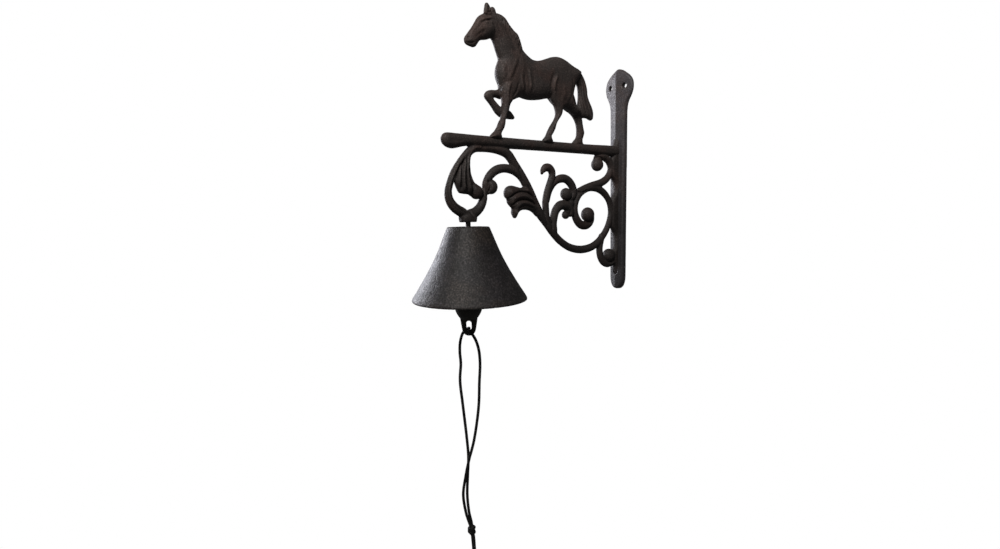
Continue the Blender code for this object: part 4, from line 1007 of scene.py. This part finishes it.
def horse_figure():
    parts = [
        swollen(HORSE_BODY, body_thickness, 13.0, power=2.0),
        swollen(NEAR_EAR, 2.3, 2.6, 2.7), swollen(FAR_EAR, 2.3, 2.6, -2.7),
        swollen(NEAR_FORELEG, leg_thickness(40.0, 92.0, 3.7, 6.2), 4.6, 3.0),
        swollen(RAISED_FORELEG, 3.9, 4.2, -3.4),
        swollen(NEAR_HINDLEG, leg_thickness(40.0, 100.0, 3.7, 6.4), 5.0, 3.2),
        swollen(FAR_HINDLEG, leg_thickness(40.0, 92.0, 3.7, 6.4), 5.0, -3.2),
        swollen(HORSE_TAIL, 3.9, 5.0, 0.0),
    ]
    mesh = fused(parts, 0.62, 3, 0.6)
    carve(mesh, [(line, width, HORSE_RELIEF * high, *side) for line, width, high, *side in HORSE_STROKES]
          + mane_strokes())
    relax(mesh, 1, 0.6)
    return roughened(mesh, 0.07, 1.5)


# ------------------------------------------------------------------ wall plate
PLATE_HALF = [
    (0, 126.4), (3.2, 125.6), (6.4, 123.9), (9.6, 121.7), (13.4, 118.9), (17, 115.2), (19.3, 110.9),
    (20, 106), (19.2, 100.4), (16.6, 95), (13.6, 90), (11.8, 84.6), (11.1, 78),
]
PLATE_LOW_HALF = [
    (10.2, -108), (9.9, -113), (8.6, -117.8), (6.4, -121.4), (3.4, -123.5), (0, -124.1),
]
PLATE_HOLES = [(9.9, 106.6), (-9.9, 106.6), (0.0, -103.8)]
HOLE_RADIUS = 2.75
RIDGE_DEPTH = 7.6
RIDGE_SLOPE = 0.25
TOP_FALL = 2.2                  # how much thinner the plate is at its very top
EDGE_ROUND = 2.6                # how far in from the edge the rounding reaches
EDGE_LEFT = 0.32                # the share of the depth that is left at the edge
SINK_RADIUS = 3.5               # the countersink: its rim, how wide its slope is and how steep
SINK_WIDE = 0.7
SINK_SLOPE = 0.5


def plate_outline():
    head = smooth_route(PLATE_HALF, 4)
    low = smooth_route(PLATE_LOW_HALF, 4)
    right = head + low
    left = [(-x, z) for x, z in reversed(right)][1:-1]
    return right + left


def wall_plate():
    """A long strip with a keyhole head: a ridge down its middle, two sloping wings, rounded edges and three
    countersunk holes. It is made flat, then each point of its front takes its depth from where it lies."""
    curve = bpy.data.curves.new("plate", "CURVE")
    curve.dimensions = "2D"
    curve.fill_mode = "BOTH"
    curve.extrude = 5.0
    edge = plate_outline()
    loops = [edge]
    for x, z in PLATE_HOLES:
        loops.append([(x + HOLE_RADIUS * c, z + HOLE_RADIUS * s) for c, s in circle(40)])
    for loop in loops:
        spline = curve.splines.new("POLY")
        spline.points.add(len(loop) - 1)
        for point, (x, z) in zip(spline.points, loop):
            point.co = (x, z, 0.0, 1.0)
        spline.use_cyclic_u = True
    obj = bpy.data.objects.new("work", curve)
    bpy.context.scene.collection.objects.link(obj)
    obj.matrix_world = Matrix(((1, 0, 0, 0), (0, 0, -1, -5.0), (0, 1, 0, 0), (0, 0, 0, 1)))
    mesh = baked(obj)
    bm = bmesh.new()
    bm.from_mesh(mesh)
    bmesh.ops.remove_doubles(bm, verts=bm.verts, dist=0.001)
    bmesh.ops.recalc_face_normals(bm, faces=bm.faces)
    mesh = relax(reskinned(mesh_of(bm), VOXEL), 2, 0.5)
    co = coords(mesh)
    x, z = np.abs(co[:, 0]), co[:, 2]
    inside, _ = line_distance(co[:, 0], z, edge, closed=True)
    slope = RIDGE_DEPTH - RIDGE_SLOPE * np.sqrt(x * x + 0.16)
    slope = slope - TOP_FALL * np.clip((z - 114.0) / 10.0, 0.0, 1.0) ** 2
    round_off = np.sqrt(1.0 - (1.0 - np.clip(inside / EDGE_ROUND, 0.0, 1.0)) ** 2)
    depth = slope * (EDGE_LEFT + (1.0 - EDGE_LEFT) * round_off)
    for hole_x, hole_z in PLATE_HOLES:
        away = np.hypot(co[:, 0] - hole_x, z - hole_z)
        depth = depth - np.clip(SINK_RADIUS - away, 0.0, SINK_WIDE) * SINK_SLOPE
    co[:, 1] = np.clip(co[:, 1] / 10.0, -1.0, 0.0) * np.maximum(depth, 0.6)
    set_coords(mesh, co)
    mesh = roughened(mesh, 0.07, 1.4)
    co = coords(mesh)
    co[:, 1] = np.minimum(co[:, 1], 0.0)
    set_coords(mesh, co)
    return mesh


# ------------------------------------------------------------------ bell
def turned(profile, steps, y=BELL_Y, closed=True):
    """A turned piece from (radius, z) points, about a vertical axis; a radius of 0 ends it in a point."""
    return lofted([[(radius * c, y + radius * s, z) for c, s in circle(steps)] if radius > 1e-6
                   else [(0.0, y, z)] for radius, z in profile], closed)


def spaced(profile, step):
    """The same profile with its straight runs cut into even steps."""
    out = []
    for (r0, z0), (r1, z1) in zip(profile, profile[1:]):
        parts = max(int(math.hypot(r1 - r0, z1 - z0) / step), 1)
        out += [(r0 + (r1 - r0) * k / parts, z0 + (z1 - z0) * k / parts) for k in range(parts)]
    out.append(profile[-1])
    return out


def bell_mesh():
    outer = smooth_route([
        (19.2, BELL_TOP - 0.05), (20.1, -45.9), (21.4, -48.6), (25.4, -58.4), (31.1, -71.8), (37.7, -84.6),
        (44.6, -96.5), (51.0, -106.8), (53.6, -110.8), (54.8, -113.2), (54.8, -114.7), (53.6, BELL_RIM),
    ], 4)
    inner = smooth_route([
        (51.6, -115.1), (50.2, -113.6), (47.2, -108.8), (40.8, -98.6), (34.1, -86.8), (27.4, -73.8),
        (21.8, -60.8), (18.6, -53.2), (16.2, -50.6), (12.0, BELL_TOP - BELL_CROWN),
    ], 4)
    profile = [(BELL_BORE, BELL_TOP)] + outer + inner + [(BELL_BORE, BELL_TOP - BELL_CROWN)]
    profile.append(profile[0])
    mesh = turned(spaced(profile, 0.95)[:-1], 300)
    co = coords(mesh)
    out = normals(mesh)
    rough = []
    for x, y, z in co:
        p = Vector((x, y, z))
        grain = noise.noise(p / 1.25) + 0.6 * noise.noise(p / 0.7)
        lumps = noise.noise(p / 5.5)
        pit = max(noise.noise(p / 3.1 + Vector((7.0, 3.0, 5.0))) - 0.52, 0.0)
        rough.append(0.1 * grain + 0.05 * lumps - 1.4 * pit)
    near_bore = np.hypot(co[:, 0], co[:, 1] - BELL_Y) < BELL_BORE + 0.6
    rough = np.where(near_bore, 0.0, np.array(rough))
    set_coords(mesh, co + out * (np.minimum(rough, 0.1) - 0.1)[:, None])
    return mesh


# ------------------------------------------------------------------ fixings, link and clapper
WASHER_TOP = BELL_TOP - BELL_CROWN - WASHER_GAP


def hung(mesh):
    """A mesh made about X = 0, Y = 0, turned and moved to where the clapper hangs."""
    mesh.transform(Matrix.Translation((PIVOT_X, PIVOT_Y, 0.0)) @ Matrix.Rotation(HANG_TURN, 4, "Z"))
    return mesh


def eye_bolt():
    """The stud with a rolled thread where the nut sits, ending in a bent wire eye."""
    profile = [(0.0, STUD_TOP), (STUD_RADIUS - 0.3, STUD_TOP)]
    z = STUD_TOP - 0.4
    while z > -56.0:
        profile += [(STUD_RADIUS - 0.04, z), (STUD_RADIUS - 0.32, z - 0.35)]
        z -= 0.7
    profile += [(2.3, -56.6), (1.7, -57.6), (0.0, -57.9)]
    stud = turned(profile, 32, closed=False)
    ring = [(0.0, EYE_RING * s, EYE_CENTRE_Z + EYE_RING * c, EYE_WIRE) for c, s in circle(48)]
    eye = hung(tube(ring, closed=True))
    neck = ball((PIVOT_X * 0.5, (BELL_Y + PIVOT_Y) * 0.5, EYE_CENTRE_Z + EYE_RING), 2.3)
    return fused([eye, neck, stud], 0.26, 1, 0.5)


def washer():
    top = WASHER_TOP
    low = top - WASHER_THICK
    return turned([(3.15, top - 0.12), (3.3, top), (6.2, top), (WASHER_RADIUS, top - 0.25),
                   (WASHER_RADIUS, low + 0.25), (6.2, low), (3.3, low), (3.15, low + 0.12)], 64)


def nut():
    """A hexagon nut, its corners chamfered and its thread countersunk."""
    top = WASHER_TOP - WASHER_THICK - WASHER_GAP
    low = top - NUT_THICK
    stations = [                # radius, height, and whether the six flats cut it
        (2.95, top - 0.5, False), (3.3, top, False), (4.3, top, False), (9.0, top - 0.55, True),
        (9.0, low + 0.55, True), (4.3, low, False), (3.3, low, False), (2.95, low + 0.5, False),
    ]
    rows = []
    for radius, z, six in stations:
        row = []
        for k, (c, s) in enumerate(circle(96)):
            off_flat = (2 * math.pi * k / 96 + math.pi / 6) % (math.pi / 3) - math.pi / 6
            r = min(radius, NUT_HALF_FLATS / math.cos(off_flat)) if six else radius
            row.append((r * c, BELL_Y + r * s, z))
        rows.append(row)
    return lofted(rows, closed=True)


def link():
    """A long wire loop: two half circles joined by straight sides."""
    top = LINK_TOP_Z - LINK_BEND
    low = top - LINK_STRAIGHT
    points = []
    for centre, start in ((top, 0.0), (low, math.pi)):
        for i in range(15):
            turn = start + math.pi * i / 14
            points.append((LINK_BEND * math.cos(turn), 0.0, centre + LINK_BEND * math.sin(turn), LINK_WIRE))
    return hung(tube(points, closed=True))


def clapper():
    """A long shank with an eye, a heavy ball, and a flat tail with a slot for the cord."""
    hole_z = CLAPPER_PIVOT_Z + LINK_WIRE + 1.1 - CLAPPER_BORE
    profile = smooth_route([
        (2.5, hole_z - 3.8), (2.8, -92.0), (3.3, -101.0), (5.4, -106.2), (9.6, -109.8), (12.3, -113.6),
        (13.3, -118.4), (13.1, -122.8), (12.2, -126.4), (10.2, -130.2), (7.6, -133.4),
    ], 5)
    shank = turned([(0.0, hole_z - 3.4)] + profile + [(0.0, -134.2)], 64, y=0.0, closed=False)
    eye = swollen([(4.9 * c, hole_z + 4.9 * s) for c, s in circle(16)], 1.3, 1.6, voxel=0.35, span=2)
    side = [(9.8, -126.0), (8.6, -132.0), (7.8, -137.0), (7.0, -142.0), (6.2, -145.4), (4.6, -148.1),
            (2.4, -149.5)]
    tail = swollen([(-y, z) for y, z in side] + [(0.0, -149.9)] + side[::-1], 2.6, 2.0, voxel=0.4, span=2)
    obj = temp_object(fused([shank, eye, tail], 0.42, 3, 0.55))
    bore = tube([(-8.0, 0.0, hole_z, CLAPPER_BORE), (8.0, 0.0, hole_z, CLAPPER_BORE)], sides=40)
    slot = [(SLOT_HALF * c, SLOT_Z + math.copysign(SLOT_RISE, s - 1e-30) + SLOT_HALF * s)
            for c, s in circle(48)]
    cutters = [temp_object(bore), temp_object(slab(slot, -12.0, 12.0))]
    for cutter in cutters:
        mod = obj.modifiers.new("cut", "BOOLEAN")
        mod.operation = "DIFFERENCE"
        mod.solver = "EXACT"
        mod.object = cutter
    mesh = baked(obj)
    for cutter in cutters:
        bpy.data.objects.remove(cutter, do_unlink=True)
    return roughened(hung(fused([mesh], 0.4, 2, 0.5)), 0.06, 1.5)


# ------------------------------------------------------------------ assembly
def build():
    make_camera()
    cord_mat = waxed_cord("black_cord")
    make_cords(cord_mat)

    # The value after specular sets the grain's specks, whose bright ones are painted glints; the last tuple
    # on the bracket and the plate is painted shade that darkens them downwards.
    iron = cast_iron("bracket_iron", (0.038, 0.0305, 0.0275), (0.047, 0.0365, 0.033), (0.053, 0.0335, 0.028),
                     0.95, 0.3, 0.6, 0.25, 0.46, (92.0, -45.0, 0.4))
    plate_iron = cast_iron("plate_iron", (0.032, 0.0265, 0.0285), (0.052, 0.044, 0.0465),
                           (0.046, 0.031, 0.026), 1.0, 0.28, 0.52, 0.42, 0.45, (84.0, -50.0, 0.3))
    bell_iron = cast_iron("bell_iron", (0.0125, 0.0108, 0.0102), (0.0205, 0.0182, 0.019),
                          (0.0215, 0.0165, 0.0135), 1.25, 0.42, 0.52, 0.26, 0.75)
    clapper_iron = cast_iron("clapper_iron", (0.009, 0.0092, 0.008), (0.019, 0.0185, 0.0155),
                             (0.022, 0.018, 0.013), 1.0, 0.2, 0.6, 0.25, 0.4)
    dark_steel = steel("dark_steel")

    finish_piece("bracket_scrollwork", bracket_scrollwork(), iron, "bracket",
                 ["arm_bar", "hanger_ring", "hanger_leaf", "main_scroll", "small_arch", "acanthus_leaf",
                  "tendril_hook", "tendril_arch", "leaf_stem", "upper_curl", "lower_curl"])
    finish_piece("walking_horse", horse_figure(), iron, "bracket", ["horse_figure"])
    finish_piece("backplate", wall_plate(), plate_iron, "bracket", ["wall_plate"], 40.0)
    finish_piece("bell_cup", bell_mesh(), bell_iron, "bell", ["bell"], 50.0)
    finish_piece("eye_bolt", eye_bolt(), dark_steel, "bracket", ["hanger_eye_bolt"])
    finish_piece("washer", washer(), dark_steel, "bracket", ["bell_washer"], 35.0)
    finish_piece("hex_nut", nut(), dark_steel, "bracket", ["bell_nut"], 25.0)
    finish_piece("wire_link", link(), dark_steel, "clapper_link", ["clapper_link"])
    finish_piece("clapper_casting", clapper(), clapper_iron, "clapper", ["clapper"])
    make_floor()
    make_world()
    make_lights()


build()
